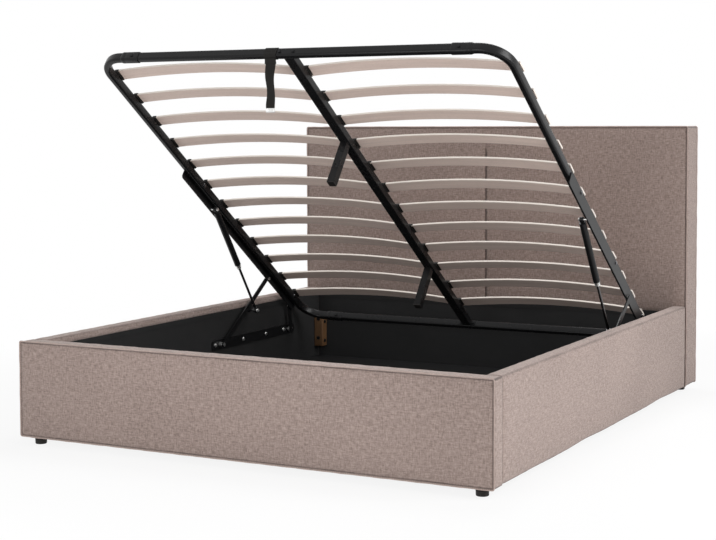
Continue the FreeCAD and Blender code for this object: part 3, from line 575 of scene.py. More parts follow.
def smooth_step(value, low, high):
    """Rise from 0 to 1 between two values: t * t * (3 - 2 t)."""
    t = np.clip((value - low) / (high - low), 0.0, 1.0)
    return t * t * (3.0 - 2.0 * t)


def ripple(along, lengths, seed):
    """A sum of sines of several wavelengths, each with its own phase."""
    total = 0.0
    for index, length in enumerate(lengths):
        total = total + np.sin(2 * math.pi * along / length + seed * 1.7 + index * 2.1)
    return total / len(lengths)


def rounded_loop(low, high, radius, step):
    """A rounded rectangle: quarter circles joined by straight runs; gives points and normals."""
    (left, bottom), (right, top) = np.add(low, radius), np.subtract(high, radius)
    middles = np.array([(right, top), (left, top), (left, bottom), (right, bottom)])
    points, normals = [], []
    for quarter, middle in enumerate(middles):
        angle = math.pi / 2 * (quarter + np.linspace(0.0, 1.0, 7))
        normal = np.stack([np.cos(angle), np.sin(angle)], 1)
        arc = middle + normal * radius
        target = middles[(quarter + 1) % 4] + normal[-1] * radius
        count = max(2, int(np.linalg.norm(target - arc[-1]) / step))
        share = np.linspace(0.0, 1.0, count + 1)[1:-1, None]
        points += [arc, arc[-1] * (1 - share) + target * share]
        normals += [normal, np.repeat(normal[-1:], count - 1, 0)]
    return np.concatenate(points), np.concatenate(normals)


def section(width, height, radius, step):
    """A rounded rectangle about the origin, with its running length."""
    points, normals = rounded_loop((-width / 2, -height / 2), (width / 2, height / 2), radius, step)
    run = np.concatenate([[0.0], np.cumsum(np.linalg.norm(np.diff(points, axis=0), axis=1))])
    return points, normals, run


def turned(profile, base, axis, segments, outline=1.0):
    """Carry a profile of radius and height round an axis: base + axis h + r o (e cos a + f sin a).

    The outline o is 1 for a round form, or else a factor for each row and angle.
    """
    axis = np.asarray(axis, float) / np.linalg.norm(axis)
    first = np.cross(axis, (0.0, 0.31, 0.95) if abs(axis[0]) > 0.9 else ACROSS)
    first /= np.linalg.norm(first)
    radius, height = np.asarray(profile, float).T
    angle = np.linspace(0.0, 2 * math.pi, segments, endpoint=False)
    ring = first * np.cos(angle)[:, None] + np.cross(axis, first) * np.sin(angle)[:, None]
    return base + height[:, None, None] * axis + (radius[:, None] * outline)[..., None] * ring


# Padded covers

# Each face's axis and the way it looks, then the axes of its two parameters, so that it faces outwards
FACES = {
    "right": (0, 1, 1, 2),
    "left": (0, -1, 2, 1),
    "back": (1, 1, 2, 0),
    "front": (1, -1, 0, 2),
    "top": (2, 1, 0, 1),
    "bottom": (2, -1, 1, 0),
}
# Cloth over the filling: its grid, its pressure, how long it is blown up, and its stiffness
CLOTH_STEP = 0.016
CLOTH_PRESSURE = 4.0
CLOTH_FRAMES = 20
CLOTH_TENSION, CLOTH_COMPRESSION = 15.0, 8.0
# Padded faces: their grid, and the lines close to a seam as shares of the roll
PANEL_STEP = 0.018
ROLL_LINES = np.array([0.03, 0.1, 0.22, 0.4, 0.65, 1.0, 1.6, 2.5])
# Puckers along a seam, on faces of enough depth, and the band of painted shade where a face goes into a
# seam, with its wavering strength
PUCKER_DEPTH, PUCKER_HEIGHT, PUCKER_REACH = 0.002, 0.0011, 0.035
PUCKER_WAVES = (0.083, 0.131, 0.057)
SEAM_SHADE_BAND = (0.0020, 0.0052)
SEAM_SHADE_WAVES = (0.31, 0.19, 0.47)
SLACK_REACH, SLACK_WAVES = 0.035, (0.83, 0.47)
# A lip's section, as shares of its height and of half its thickness, how it is carried round, and how far
# the painted shade at its root reaches
LIP_PROFILE = np.array([(-0.15, 1.0), (0.45, 1.0), (0.80, 0.92), (0.95, 0.60), (1.0, 0.0),
                        (0.95, -0.60), (0.80, -0.92), (0.45, -1.0), (-0.15, -1.0)])
LIP_HALF, LIP_CORNER, LIP_STEP = 0.0016, 0.004, 0.012
LIP_WAVES = (0.21, 0.127, 0.071)
LIP_LEAN, LIP_SWAY, LIP_SHADE = math.radians(45), math.radians(9), 0.22
# Recesses behind the linings and the back cloth, and the lines along the headboard's channel, its fade,
# pull and painted shade
RECESS_DEPTH, RECESS_FADE = 0.0042, 0.004
BACK_RECESS, BACK_RIM = 0.0036, 0.001
CHANNEL_LINES = np.array([0.0, 0.001, 0.0022, 0.004, 0.0065, 0.0095, 0.014, 0.022, 0.036])
CHANNEL_FADE = (0.125, 0.085)
CHANNEL_PULL, CHANNEL_REACH, CHANNEL_SHADE = 0.0028, 0.055, 0.0030


def readings(places, lines):
    """Weights that read values kept at lines at other places, in straight steps between them."""
    return np.stack([np.interp(places, lines, row) for row in np.eye(len(lines))], 1)


def swollen_sheet(a, b, held):
    """Push a flat sheet of cloth from behind and give how far each of its points rises.

    The sheet is held where its seams are.  Blender's Cloth blows it up by a pressure, without
    gravity, and the object is taken away again once its points are read.
    """
    scene = bpy.context.scene
    mesh = bpy.data.meshes.new("filling")
    mesh.from_pydata(np.stack([a, b, 0 * a], -1).reshape(-1, 3).tolist(), [],
                     grid_faces(*a.shape).tolist())
    sheet = bpy.data.objects.new("filling", mesh)
    scene.collection.objects.link(sheet)
    sheet.vertex_groups.new(name="seam").add(np.flatnonzero(held).tolist(), 1.0, "REPLACE")
    cloth = sheet.modifiers.new("Filling", "CLOTH")
    cloth.collision_settings.use_collision = False
    settings = cloth.settings
    settings.vertex_group_mass = "seam"
    settings.tension_stiffness = CLOTH_TENSION
    settings.compression_stiffness = CLOTH_COMPRESSION
    settings.use_pressure = True
    settings.uniform_pressure_force = CLOTH_PRESSURE
    settings.effector_weights.gravity = 0.0
    for moment in range(1, CLOTH_FRAMES + 1):
        scene.frame_set(moment)
    posed = sheet.evaluated_get(bpy.context.evaluated_depsgraph_get())
    points = np.empty(a.size * 3)
    posed.to_mesh().vertices.foreach_get("co", points)
    posed.to_mesh_clear()
    bpy.data.objects.remove(sheet)
    bpy.data.meshes.remove(mesh)
    scene.frame_set(1)
    return points.reshape(a.shape + (3,))[..., 2]


class PaddedPanel:
    """A padded block of six sewn faces.

    A face is a grid of two parameters.  It leaves its seam along a quarter ellipse of the roll's
    width, d(s) = sqrt(1 - (1 - s / roll)^2), and swells by its crown between opposite seams.
    """

    def __init__(self, node, depths, crowns, marks, slack=0.0, shadow=1.0):
        self.node, self.depths, self.crowns = node, depths, crowns
        self.slack, self.shadow = slack, shadow
        self.low, self.high = (np.array(corner, float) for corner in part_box(node))
        self.look = bpy.context.scene.bed_fabric
        self.surface = Surface()
        self.swells = {}
        self.lines = []
        names = (("left", "right"), ("front", "back"), ("bottom", "top"))
        for axis, (near, far) in enumerate(names):
            start, stop = self.low[axis] + depths[near], self.high[axis] - depths[far]
            self.lines.append(stations(start, stop, PANEL_STEP, self.look.roll * ROLL_LINES, marks[axis]))

    def rolled(self, along, lines):
        """Quarter-ellipse rise from both seams, and the distance from the nearer one."""
        distance = np.minimum(along - lines[0], lines[-1] - along)
        inside = 1.0 - np.clip(distance / self.look.roll, 0.0, 1.0)
        return np.sqrt(np.clip(1.0 - inside * inside, 0.0, 1.0)), distance

    def seam_level(self, name):
        """Where a face's seams lie along the axis that it is square to."""
        axis, sign = FACES[name][:2]
        return (self.high if sign > 0 else self.low)[axis] - sign * self.depths[name]

    def fill(self, name, sewn=None):
        """Swell a face's cloth over its filling, held along its border and where it is sewn down.

        The foam stops a rise r near the crown c, at c tanh(r / c).
        """
        lines = [self.lines[axis] for axis in FACES[name][2:]]
        u, v = (np.linspace(line[0], line[-1], int(round((line[-1] - line[0]) / CLOTH_STEP)) + 1)
                for line in lines)
        a, b = np.meshgrid(u, v, indexing="ij")
        held = (a == u[0]) | (a == u[-1]) | (b == v[0]) | (b == v[-1])
        rise = swollen_sheet(a, b, held if sewn is None else held | sewn(a, b))
        swell = self.crowns[name] * np.tanh(rise / self.crowns[name])
        self.swells[name] = readings(lines[0], u) @ swell @ readings(lines[1], v).T

    def sew(self, relief, channel=None):
        """Add the six faces.

        A relief gives a face's extra inward depth at places across and up it, and the channel the
        painted shade along a seam sewn into the front.
        """
        for seed, (name, (axis, sign, first, second)) in enumerate(FACES.items()):
            a, b = np.meshgrid(self.lines[first], self.lines[second], indexing="ij")
            across, up = (a, b) if first < second else (b, a)
            rise_a, from_a = self.rolled(a, self.lines[first])
            rise_b, from_b = self.rolled(b, self.lines[second])
            rise, near = rise_a * rise_b, np.minimum(from_a, from_b)
            depth, crown = self.depths[name], self.crowns.get(name, 0.0)
            span_a, span_b = ((each - each.min()) / np.ptp(each) * 2 - 1 for each in (a, b))
            even = crown * (1 - span_a ** 8) * (1 - span_b ** 2) * rise
            lift = (depth - crown) * rise + self.swells.get(name, even)
            if depth > PUCKER_DEPTH:
                pucker = PUCKER_HEIGHT * np.exp(-near / PUCKER_REACH)
                lift = lift + pucker * ripple(a + b, PUCKER_WAVES, seed) * rise
            if name in relief:
                lift = lift - relief[name](across, up) * rise
            points = np.empty(a.shape + (3,))
            points[..., first], points[..., second] = a, b
            points[..., axis] = self.seam_level(name) + sign * lift
            points[..., 2] += self.sag(points)
            # Painted shade: a dark band along each seam, its strength wavering and scaled by the panel's
            # shadow.
            pull = 0.75 + 0.25 * ripple(a + b, SEAM_SHADE_WAVES, seed)
            seam = (1.0 - smooth_step(near, *SEAM_SHADE_BAND)) * pull * self.shadow
            if name == "front" and channel is not None:
                seam = np.maximum(seam, channel(across, up))
            weave = np.stack([across, up], -1)
            self.surface.add(points, [grid_faces(*a.shape)], weave, seam=seam, lip=-1.0)

    def sag(self, points):
        """How far a slack lower edge is drawn up: waves along the bed that fade out upwards."""
        lower = np.exp(-(points[..., 2] - self.low[2]) / SLACK_REACH)
        return self.slack * lower * (0.5 + 0.5 * ripple(points[..., 1], SLACK_WAVES, 2.0)) ** 2

    def lip(self, name, seed):
        """Stand a sewn lip along the seam round a face: a flat tongue carried round the loop.

        It leans half way between the face's normal and the loop's outward normal, and its lean and
        height waver along the seam.
        """
        axis, sign, first, second = FACES[name]
        low, high = ([self.lines[first][end], self.lines[second][end]] for end in (0, -1))
        points, normals = rounded_loop(low, high, LIP_CORNER, LIP_STEP)
        run = np.cumsum(np.linalg.norm(points - np.roll(points, 1, 0), axis=1))
        waves = [run[-1] / round(run[-1] / length) for length in LIP_WAVES]
        lean = LIP_LEAN + LIP_SWAY * ripple(run, waves, seed)[:, None]
        reach = self.look.lip * (1.0 + 0.10 * ripple(run, waves[::-1], seed + 3.0)[:, None])
        out, thick = LIP_PROFILE[:, 0], LIP_PROFILE[:, 1] * LIP_HALF
        height = reach * out * np.cos(lean) - thick * np.sin(lean)
        spread = reach * out * np.sin(lean) + thick * np.cos(lean)
        ring = np.empty(height.shape + (3,))
        ring[..., first] = points[:, :1] + normals[:, :1] * spread
        ring[..., second] = points[:, 1:] + normals[:, 1:] * spread
        ring[..., axis] = self.seam_level(name) + sign * height
        faces = grid_faces(*height.shape, wrap_rows=True, wrap_columns=True)
        along, across = np.broadcast_arrays(run[:, None], out)
        weave = np.stack([along, across * self.look.lip], -1)
        lip = np.abs(across)
        # Painted shade at the lip's root, fading out towards its edge.
        self.surface.add(ring, [faces], weave, seam=np.exp(-lip / LIP_SHADE), lip=lip)

    def cover(self, name):
        """Make the piece that stands for the node, named after its padding."""
        piece = self.surface.piece(name, "bed_box", "upholstery", [self.node], merge=2e-5)


def lining_recess(edge_low, edge_high, level):
    """Relief behind a lining: full depth under a level and between two edges."""
    def relief(across, up):
        below = 1.0 - smooth_step(up, level - RECESS_FADE, level + RECESS_FADE / 2)
        return RECESS_DEPTH * below * (across > edge_low) * (across < edge_high)
    return relief


class BED_OT_padded_covers(bpy.types.Operator):
    """Make the padded covers of the headboard, the foot panel and the side panels"""
    bl_idname = "bed.padded_covers"
    bl_label = "Padded covers"

    def execute(self, context):
        lining_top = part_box("box_linings")[1][2]
        self.levels = (lining_top, lining_top - RECESS_FADE)
        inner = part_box("right_panel_cover")[0][0]
        self.recess = lining_recess(-inner, inner, lining_top)
        self.headboard(context.scene.bed_fabric.channel)
        self.foot_panel(inner)
        self.side_panel("left", "right")
        self.side_panel("right", "left")
        return {"FINISHED"}

    def headboard(self, radius):
        """The headboard: a sewn channel up the middle fades out a little below the top."""
        depths = dict.fromkeys(FACES, 0.006) | {"bottom": 0.003}
        crowns = {"left": 0.002, "right": 0.002, "top": 0.002, "front": 0.004}
        low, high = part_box("headboard_back_cloth")
        sides, edges = ([corner[axis] + step for corner in (low, high) for step in (-BACK_RIM, BACK_RIM)]
                        for axis in (0, 2))
        marks = (np.concatenate([CHANNEL_LINES, -CHANNEL_LINES, sides]), (), (*self.levels, *edges))
        panel = PaddedPanel("headboard_cover", depths, crowns, marks)
        fade_start, fade_stop = (panel.high[2] - below for below in CHANNEL_FADE)

        def fade(up):
            return 1.0 - smooth_step(up, fade_start, fade_stop)

        def groove(across, up):
            inside = 1.0 - np.clip(np.abs(across) / radius, 0.0, 1.0)
            round_ = radius * (1.0 - np.sqrt(1.0 - inside * inside * 0.999))
            pull = CHANNEL_PULL * np.exp(-np.abs(across) / CHANNEL_REACH)
            return np.maximum((round_ + pull) * fade(up), self.recess(across, up))

        def behind(across, up):
            inside = (across > low[0]) & (across < high[0]) & (up > low[2]) & (up < high[2])
            return BACK_RECESS * inside

        middle = (fade_start + fade_stop) / 2
        panel.fill("front", lambda across, up: (np.abs(across) < radius) & (up < middle))
        # The channel's painted shade darkens the cloth along the sewn channel, fading out towards the top.
        panel.sew({"front": groove, "back": behind},
                  lambda across, up: np.exp(-np.abs(across) / CHANNEL_SHADE) * fade(up))
        panel.lip("front", 1.0)
        panel.lip("back", 2.0)
        panel.cover("headboard_padding")

    def foot_panel(self, inner):
        """The foot panel: a crowned front between sewn lips, and fabric turned over its top."""
        depths = {"left": 0.004, "right": 0.004, "front": 0.0075, "back": 0.004, "top": 0.005,
                  "bottom": 0.003}
        crowns = {"front": 0.005, "left": 0.0015, "right": 0.0015, "top": 0.002}
        panel = PaddedPanel("foot_panel_cover", depths, crowns, ((-inner, inner), (), self.levels))
        panel.fill("front")
        panel.sew({"back": self.recess})
        panel.lip("front", 3.0)
        panel.cover("foot_panel_padding")

    def side_panel(self, side, inward):
        """A side panel: a crowned outer face, fabric turned over its top, and a slack lower edge."""
        depths = {side: 0.0075, inward: 0.004, "front": 0.0015, "back": 0.0015, "top": 0.005,
                  "bottom": 0.003}
        crowns = {side: 0.005, "top": 0.002}
        panel = PaddedPanel(f"{side}_panel_cover", depths, crowns, ((), (), self.levels), slack=0.0045,
                            shadow=0.55)
        panel.fill(side)
        panel.sew({inward: lining_recess(-np.inf, np.inf, self.levels[0])})
        panel.cover(f"{side}_panel_padding")


# The raised base's own directions, from the middles of its two end tubes

TUBE_WIDTH, TUBE_HEIGHT = 0.025, 0.036
FOOT_MIDDLE, HEAD_MIDDLE = (np.mean(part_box(node), axis=0) for node in ("foot_tube", "head_tube"))
# Rounded to a thousandth of a degree and to a micrometre, which leaves out the mesh's own rounding
RUN, RISE = (HEAD_MIDDLE - FOOT_MIDDLE)[1:]
BASE_TILT = math.radians(round(math.degrees(math.atan2(-RISE, RUN)), 3))
BASE_ALONG = np.array([0.0, math.cos(BASE_TILT), -math.sin(BASE_TILT)])
BASE_UP = np.array([0.0, math.sin(BASE_TILT), math.cos(BASE_TILT)])
BASE_ORIGIN = np.round(FOOT_MIDDLE - BASE_ALONG * TUBE_WIDTH / 2, 6)


def on_base(across, along, up):
    """Points of the raised base from its own three measures."""
    across, along, up = np.broadcast_arrays(across, along, up)
    return (BASE_ORIGIN + across[..., None] * ACROSS + along[..., None] * BASE_ALONG
            + up[..., None] * BASE_UP)


def to_base(points):
    """Measure points across, along and square to the raised base."""
    offset = points - BASE_ORIGIN
    return np.stack([offset[:, 0], offset @ BASE_ALONG, offset @ BASE_UP], 1)


@functools.cache
def solids(node):
    """The points of each separate solid of a CAD node, found by spreading the lowest label."""
    mesh = frame["nodes"][node].data
    points = np.empty(len(mesh.vertices) * 3, np.float32)
    mesh.vertices.foreach_get("co", points)
    points = points.reshape(-1, 3).astype(float)
    corners = np.empty(len(mesh.loops), int)
    mesh.loops.foreach_get("vertex_index", corners)
    index = np.unique(np.round(points, 5), axis=0, return_inverse=True)[1].ravel()
    triangles = index[corners].reshape(-1, 3)
    label = np.arange(index.max() + 1)
    while True:
        spread = label.copy()
        np.minimum.at(spread, triangles.ravel(), np.repeat(label[triangles].min(1), 3))
        if (spread == label).all():
            break
        label = spread
    return [points[label[index] == each] for each in np.unique(label)]


def middle_of(points):
    """The middle of a cloud of points' box."""
    return (points.min(0) + points.max(0)) / 2


# Cloth that lines the box and the headboard's back

# How far a lining lies behind the wall's face, its thickness, and the heights of the hems
LINING_INSET, LINING_THICKNESS, LINING_HEM = 0.0004, 0.0014, 0.022
BACK_INSET, BACK_HEM = 0.0012, 0.020
HEM_FADE, HEM_HEIGHT, WAVER_HEIGHT = 0.003, 0.0005, 0.0006
# Staples: their margin, spacing, length and wire, and how far they are pressed in
STAPLE_MARGIN, STAPLE_SPACING, STAPLE_LENGTH = 0.012, 0.09, 0.010
STAPLE_WIRE, STAPLE_PRESS = (0.0012, 0.0008, 0.0003, 0.0005), 0.0003


def cloth_wall(centre, normal, size, seed, hem):
    """An upright sheet: two grids with a shared waver, closed round by a rim, thicker along its hem."""
    width, height = size
    u = stations(-width / 2, width / 2, 0.05, (0.004, 0.02))
    v = stations(-height / 2, height / 2, 0.03, (0.004, 0.01, hem, hem + HEM_FADE))
    a, b = np.meshgrid(u, v, indexing="ij")
    away = smooth_step(np.minimum(width / 2 - np.abs(a), height / 2 - np.abs(b)), 0.0, 0.05)
    waves = ripple(a, (0.61, 0.37, 0.23), seed) + ripple(b + a * 0.3, (0.19, 0.11), seed + 1)
    waver = WAVER_HEIGHT * away * waves
    fold = HEM_HEIGHT * smooth_step(b, height / 2 - hem - HEM_FADE, height / 2 - hem)
    normal = np.array(normal, float)
    flat = centre + a[..., None] * np.cross(UPRIGHT, normal) + b[..., None] * UPRIGHT
    front = flat + (waver + fold)[..., None] * normal
    back = flat + (waver - LINING_THICKNESS)[..., None] * normal
    rows, columns = a.shape
    count = rows * columns
    order = np.arange(count).reshape(rows, columns)
    rim = np.concatenate([order[:-1, 0], order[-1, :-1], order[:0:-1, -1], order[0, :0:-1]])
    after = np.roll(rim, -1)
    quads = grid_faces(rows, columns)
    edge = np.stack([rim, rim + count, after + count, after], 1)
    weave = np.stack([a, b], -1)
    surface = Surface()
    surface.add(np.concatenate([front, back]), [quads, quads[:, ::-1] + count, edge],
                np.concatenate([weave, weave]))
    return surface


class BED_OT_linings(bpy.types.Operator):
    """Line the storage box and the headboard's back with thin black cloth"""
    bl_idname = "bed.linings"
    bl_label = "Linings"

    def execute(self, context):
        low, high = (np.array(corner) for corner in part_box("box_linings"))
        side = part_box("right_panel_cover")[0][0]
        foot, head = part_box("foot_panel_cover")[1][1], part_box("headboard_cover")[0][1]
        rise = high[2] - low[2]
        across, along = (2 * side, rise), (head - foot, rise)
        centre = np.array([0.0, (foot + head) / 2, (low[2] + high[2]) / 2])
        to_end, to_side = (head - foot) / 2 + LINING_INSET, side + LINING_INSET
        walls = (("foot_lining", (0.0, 1.0, 0.0), to_end, across),
                 ("head_lining", (0.0, -1.0, 0.0), to_end, across),
                 ("left_lining", (1.0, 0.0, 0.0), to_side, along),
                 ("right_lining", (-1.0, 0.0, 0.0), to_side, along))
        for seed, (name, normal, reach, flat) in enumerate(walls, 1):
            place = centre - reach * np.array(normal)
            sheet = cloth_wall(place, normal, flat, seed, LINING_HEM)
            wall = sheet.piece(name, "bed_box", "lining", ["box_linings"])
        self.back_cloth()
        return {"FINISHED"}

    def back_cloth(self):
        """The headboard's back cloth, with staples along its edges."""
        low, high = (np.array(corner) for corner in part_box("headboard_back_cloth"))
        centre = (low + high) / 2
        centre[1] = high[1] - BACK_INSET
        flat = (high[0] - low[0], high[2] - low[2])
        sheet = cloth_wall(centre, (0.0, 1.0, 0.0), flat, 5, BACK_HEM)
        cloth = sheet.piece("headboard_back_lining", "bed_box", "lining", ["headboard_back_cloth"])
        (left, _, bottom), (right, _, top) = low + STAPLE_MARGIN, high - STAPLE_MARGIN
        x = stations(left, right, STAPLE_SPACING)
        z = stations(bottom, top, STAPLE_SPACING)[1:-1]
        places = [(a, b, 0) for b in (bottom, top) for a in x]
        places += [(a, b, 2) for a in (left, right) for b in z]
        ring = section(*STAPLE_WIRE)[0]
        along = np.linspace(-STAPLE_LENGTH / 2, STAPLE_LENGTH / 2, 3)
        staples = Surface()
        for a, b, axis in places:
            points = np.empty((len(along), len(ring), 3))
            points[..., axis], points[..., 2 - axis] = along[:, None], ring[:, 0]
            points[..., 1] = ring[:, 1]
            staples.solid(points + (a, high[1] - STAPLE_PRESS, b))
        pins = staples.piece("back_cloth_staples", "bed_box", "zinc")


# Slats and their sleeves

# Places along a slat, from -1 to 1, and how much a slat is out of true
SLAT_LINES = np.concatenate([[-1.0], np.linspace(-0.997, 0.997, 29), [1.0]])
SLAT_WARP = 0.0009
# Sleeves: how far short of its solid a mouth stops, the walls on and off the tube, and the slat's play
SLEEVE_TRIM, SLEEVE_WALL, MOUTH_WALL, SLEEVE_PLAY = 0.009, 0.0016, 0.0009, 0.0001
# Lines at a sleeve's mouth, the step at the tube's edge, and half the seat on the centre tube
MOUTH_LINES = np.array([0.0, 0.0008, 0.0025, 0.0045])
SEAT_STEP, CENTRE_SEAT = 0.001, 0.0205


class BED_OT_slats(bpy.types.Operator):
    """Lay the bowed slats: a rounded strip carried along an arc, with the grain along it"""
    bl_idname = "bed.slats"
    bl_label = "Slats"

    def execute(self, context):
        for side in SIDES:
            self.row_of_slats(f"{side}_slats", context.scene.bed_wood)
        return {"FINISHED"}

    def row_of_slats(self, node, look):
        """Each slat's middle line rises by its bow: h = end + bow * (1 - s^2), s from -1 to 1."""
        surface = Surface()
        s = SLAT_LINES
        for index, points in enumerate(solids(node)):
            place = to_base(points)
            (middle_x, middle_y, _), (length, width, rise) = middle_of(place), np.ptp(place, axis=0)
            thickness = rise - look.bow
            ring, normals, run = section(width, thickness, look.rounding, 0.004)
            x = (middle_x + s * length / 2)[:, None]
            level = place[:, 2].min() + thickness / 2 + look.bow * (1 - s * s)
            warp = SLAT_WARP * np.sin(index * 2.3 + s * 1.7)
            up = level[:, None] + ring[:, 1] + warp[:, None] * ring[:, 0] / 0.02
            # The edge value marks a slat's sides and ends, which the finish paints paler: partly the
            # layers, partly a painted highlight.
            sides = smooth_step(np.abs(normals[:, 0]), 0.35, 0.75)
            edge = np.maximum(sides, (np.abs(s) == 1.0)[:, None])
            grain = np.stack(np.broadcast_arrays(x + index * 1.37, run + index * 0.211), -1)
            surface.solid(on_base(x, middle_y + ring[:, 0], up), grain, edge=edge)
        surface.piece(f"{node}_laminated", "lift_base", "birch", [node], map_name="Grain", sharp=60)


class BED_OT_slat_sleeves(bpy.types.Operator):
    """Mould the black sleeves that hold the slats' ends on the tubes"""
    bl_idname = "bed.slat_sleeves"
    bl_label = "Slat sleeves"

    def execute(self, context):
        slat = to_base(solids("right_slats")[0])
        low, high = slat.min(0), slat.max(0)
        self.start, self.stop, self.seat = low[0], high[0], low[2]
        self.bow = context.scene.bed_wood.bow
        self.thickness = high[2] - low[2] - self.bow
        self.half = (high[1] - low[1]) / 2
        edge = -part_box("left_side_tube")[0][0] - TUBE_WIDTH
        for side, sign in SIDES.items():
            node = f"{side}_slat_holders"
            near, far = sorted(abs(corner[0]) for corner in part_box(node))
            x = np.concatenate([near + SLEEVE_TRIM + MOUTH_LINES,
                                [edge - SEAT_STEP, edge + SEAT_STEP, far - MOUTH_LINES[1], far]])
            self.row_of_sleeves(node, sign * x, x >= edge)
        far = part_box("centre_slat_holders")[1][0]
        half = np.concatenate([far - SLEEVE_TRIM - MOUTH_LINES,
                               [CENTRE_SEAT + SEAT_STEP, CENTRE_SEAT - SEAT_STEP, 0.004]])
        x = np.concatenate([-half, half[::-1]])
        self.row_of_sleeves("centre_slat_holders", x, np.abs(x) < CENTRE_SEAT)
        return {"FINISHED"}

    def slat_under(self, x):
        """Height of a slat's underside at a place across the bed."""
        s = (np.clip(np.abs(x), self.start, self.stop) - self.start) / (self.stop - self.start) * 2 - 1
        return self.seat + self.bow * (1 - s * s)

    def row_of_sleeves(self, node, x, seated):
        """A shell closed in both directions: the outside from mouth to mouth, then the inside back.

        Over the tube its underside lies flat on it, and beyond it follows the slat with a thinner wall.
        """
        surface = Surface()
        ring = section(2.0, 2.0, 0.30, 0.5)[0]
        wall = np.where(seated, SLEEVE_WALL, MOUTH_WALL)
        under = self.slat_under(x)
        inner = np.array([len(x) - 1, len(x) // 2, 0])
        across = np.concatenate([x, x[inner]])[:, None]
        top = np.concatenate([under + wall, under[inner] + SLEEVE_PLAY]) + self.thickness
        half = self.half + np.concatenate([wall, np.full(3, SLEEVE_PLAY)])
        for points in solids(node):
            place = to_base(points)
            outside = np.where(seated, place[:, 2].min(), under - wall)
            bottom = np.concatenate([outside, under[inner] - SLEEVE_PLAY])
            along = middle_of(place)[1] + half[:, None] * ring[:, 0]
            up = (bottom + top)[:, None] / 2 + (top - bottom)[:, None] / 2 * ring[:, 1]
            surface.solid(on_base(across, along, up), wrap_rows=True)
        surface.piece(node.replace("holders", "sleeves"), "lift_base", "black_plastic", [node], sharp=40)


# Fasteners

# A bolt head's radii and heights as shares, and how far each row is a hexagon instead of round
HEAD_PROFILE = np.array([(1.16, 0.0, 0.0), (1.20, 0.06, 0.0), (1.16, 0.20, 0.0), (1.0, 0.22, 1.0),
                         (1.0, 0.80, 1.0), (0.92, 0.97, 0.326087), (0.55, 1.0, 0.0), (0.30, 1.02, 0.0),
                         (0.04, 1.02, 0.0)])
HEAD_SEGMENTS = 24


def hex_head(surface, place, axis, radius, thickness):
    """A bolt head: a washer, then a hexagon with a chamfered, slightly domed top.

    The hexagon's radius at an angle is its flat's distance over the cosine from the flat's middle.
    """
    angle = np.linspace(0.0, 2 * math.pi, HEAD_SEGMENTS, endpoint=False)
    flat = math.cos(math.pi / 6) / np.cos(angle % (math.pi / 3) - math.pi / 6)
    outline = 1.0 + HEAD_PROFILE[:, 2:] * (flat - 1.0)
    profile = HEAD_PROFILE[:, :2] * (radius, thickness)
    surface.solid(turned(profile, place, axis, HEAD_SEGMENTS, outline))


def corner_axis(points):
    """A corner bolt faces the middle of the box."""
    size, middle = np.ptp(points, axis=0), middle_of(points)
    thin = int(np.argmin(size[:2]))
    axis = np.zeros(3)
    axis[thin] = -np.sign(middle[thin])
    return axis


def rail_axis(points):
    """A base rail's bolt faces the middle of the bed."""
    return -np.sign(middle_of(points)[0]) * ACROSS


def top_rail_axis(points):
    """A top rail's bolt has its head outside the rail and its nut inside the tube."""
    middle = middle_of(points)[0]
    limit = max(abs(corner[0]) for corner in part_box("right_top_rail"))
    return np.sign(middle) * (1.0 if abs(middle) > limit else -1.0) * ACROSS


def frame_axis(points):
    """A frame bolt runs along the base through the nearer end tube."""
    away = middle_of(to_base(points))[1] - to_base(np.stack([FOOT_MIDDLE, HEAD_MIDDLE]))[:, 1]
    return np.sign(min(away, key=abs)) * BASE_ALONG


class BED_OT_fasteners(bpy.types.Operator):
    """Turn the bolt heads and nuts of the blocks, the rails and the tubes"""
    bl_idname = "bed.fasteners"
    bl_label = "Fasteners"

    def execute(self, context):
        rows = (("corner_bolts", "bed_box", corner_axis, "lift_steel"),
                ("base_rail_bolts", "bed_box", rail_axis, "zinc"),
                ("top_rail_bolts", "lift_base", top_rail_axis, "dark_rod"),
                ("frame_bolts", "lift_base", frame_axis, "black_tube"))
        for node, body, facing, slot in rows:
            surface = Surface()
            for points in solids(node):
                axis, middle = facing(points), middle_of(points)
                reach = (points - middle) @ axis
                radius = np.linalg.norm(points - middle - np.outer(reach, axis), axis=1).max()
                hex_head(surface, middle - axis * np.ptp(reach) / 2, axis, radius, np.ptp(reach))
            surface.piece(f"{node}_heads", body, slot, [node], sharp=35)
        return {"FINISHED"}


# Feet and corner blocks

# A foot's radii and heights, as shares of its own
FOOT_PROFILE = np.array([(0.02, 0.0), (0.84, 0.0), (0.90, 0.03), (0.93, 0.10), (0.95, 0.55),
                         (0.96, 0.60), (0.92, 0.63), (0.92, 0.68), (0.97, 0.71), (1.0, 0.76),
                         (1.0, 0.99), (0.98, 1.0), (0.02, 1.0)])
# The eased ends of a block: distances from the end, and how far the sides draw in there
EASE_LINES, EASE_DEPTHS = np.array([0.0, 0.0008, 0.0025]), np.array([0.0025, 0.0008, 0.0])


class BED_OT_feet(bpy.types.Operator):
    """Turn the moulded round feet"""
    bl_idname = "bed.feet"
    bl_label = "Feet"

    def execute(self, context):
        surface = Surface()
        for points in solids("feet"):
            width, _, height = np.ptp(points, axis=0)
            base = np.array([*middle_of(points)[:2], points[:, 2].min()])
            surface.solid(turned(FOOT_PROFILE * (width / 2, height), base, UPRIGHT, 48))
        surface.piece("moulded_feet", "bed_box", "black_plastic", ["feet"], sharp=40)
        return {"FINISHED"}


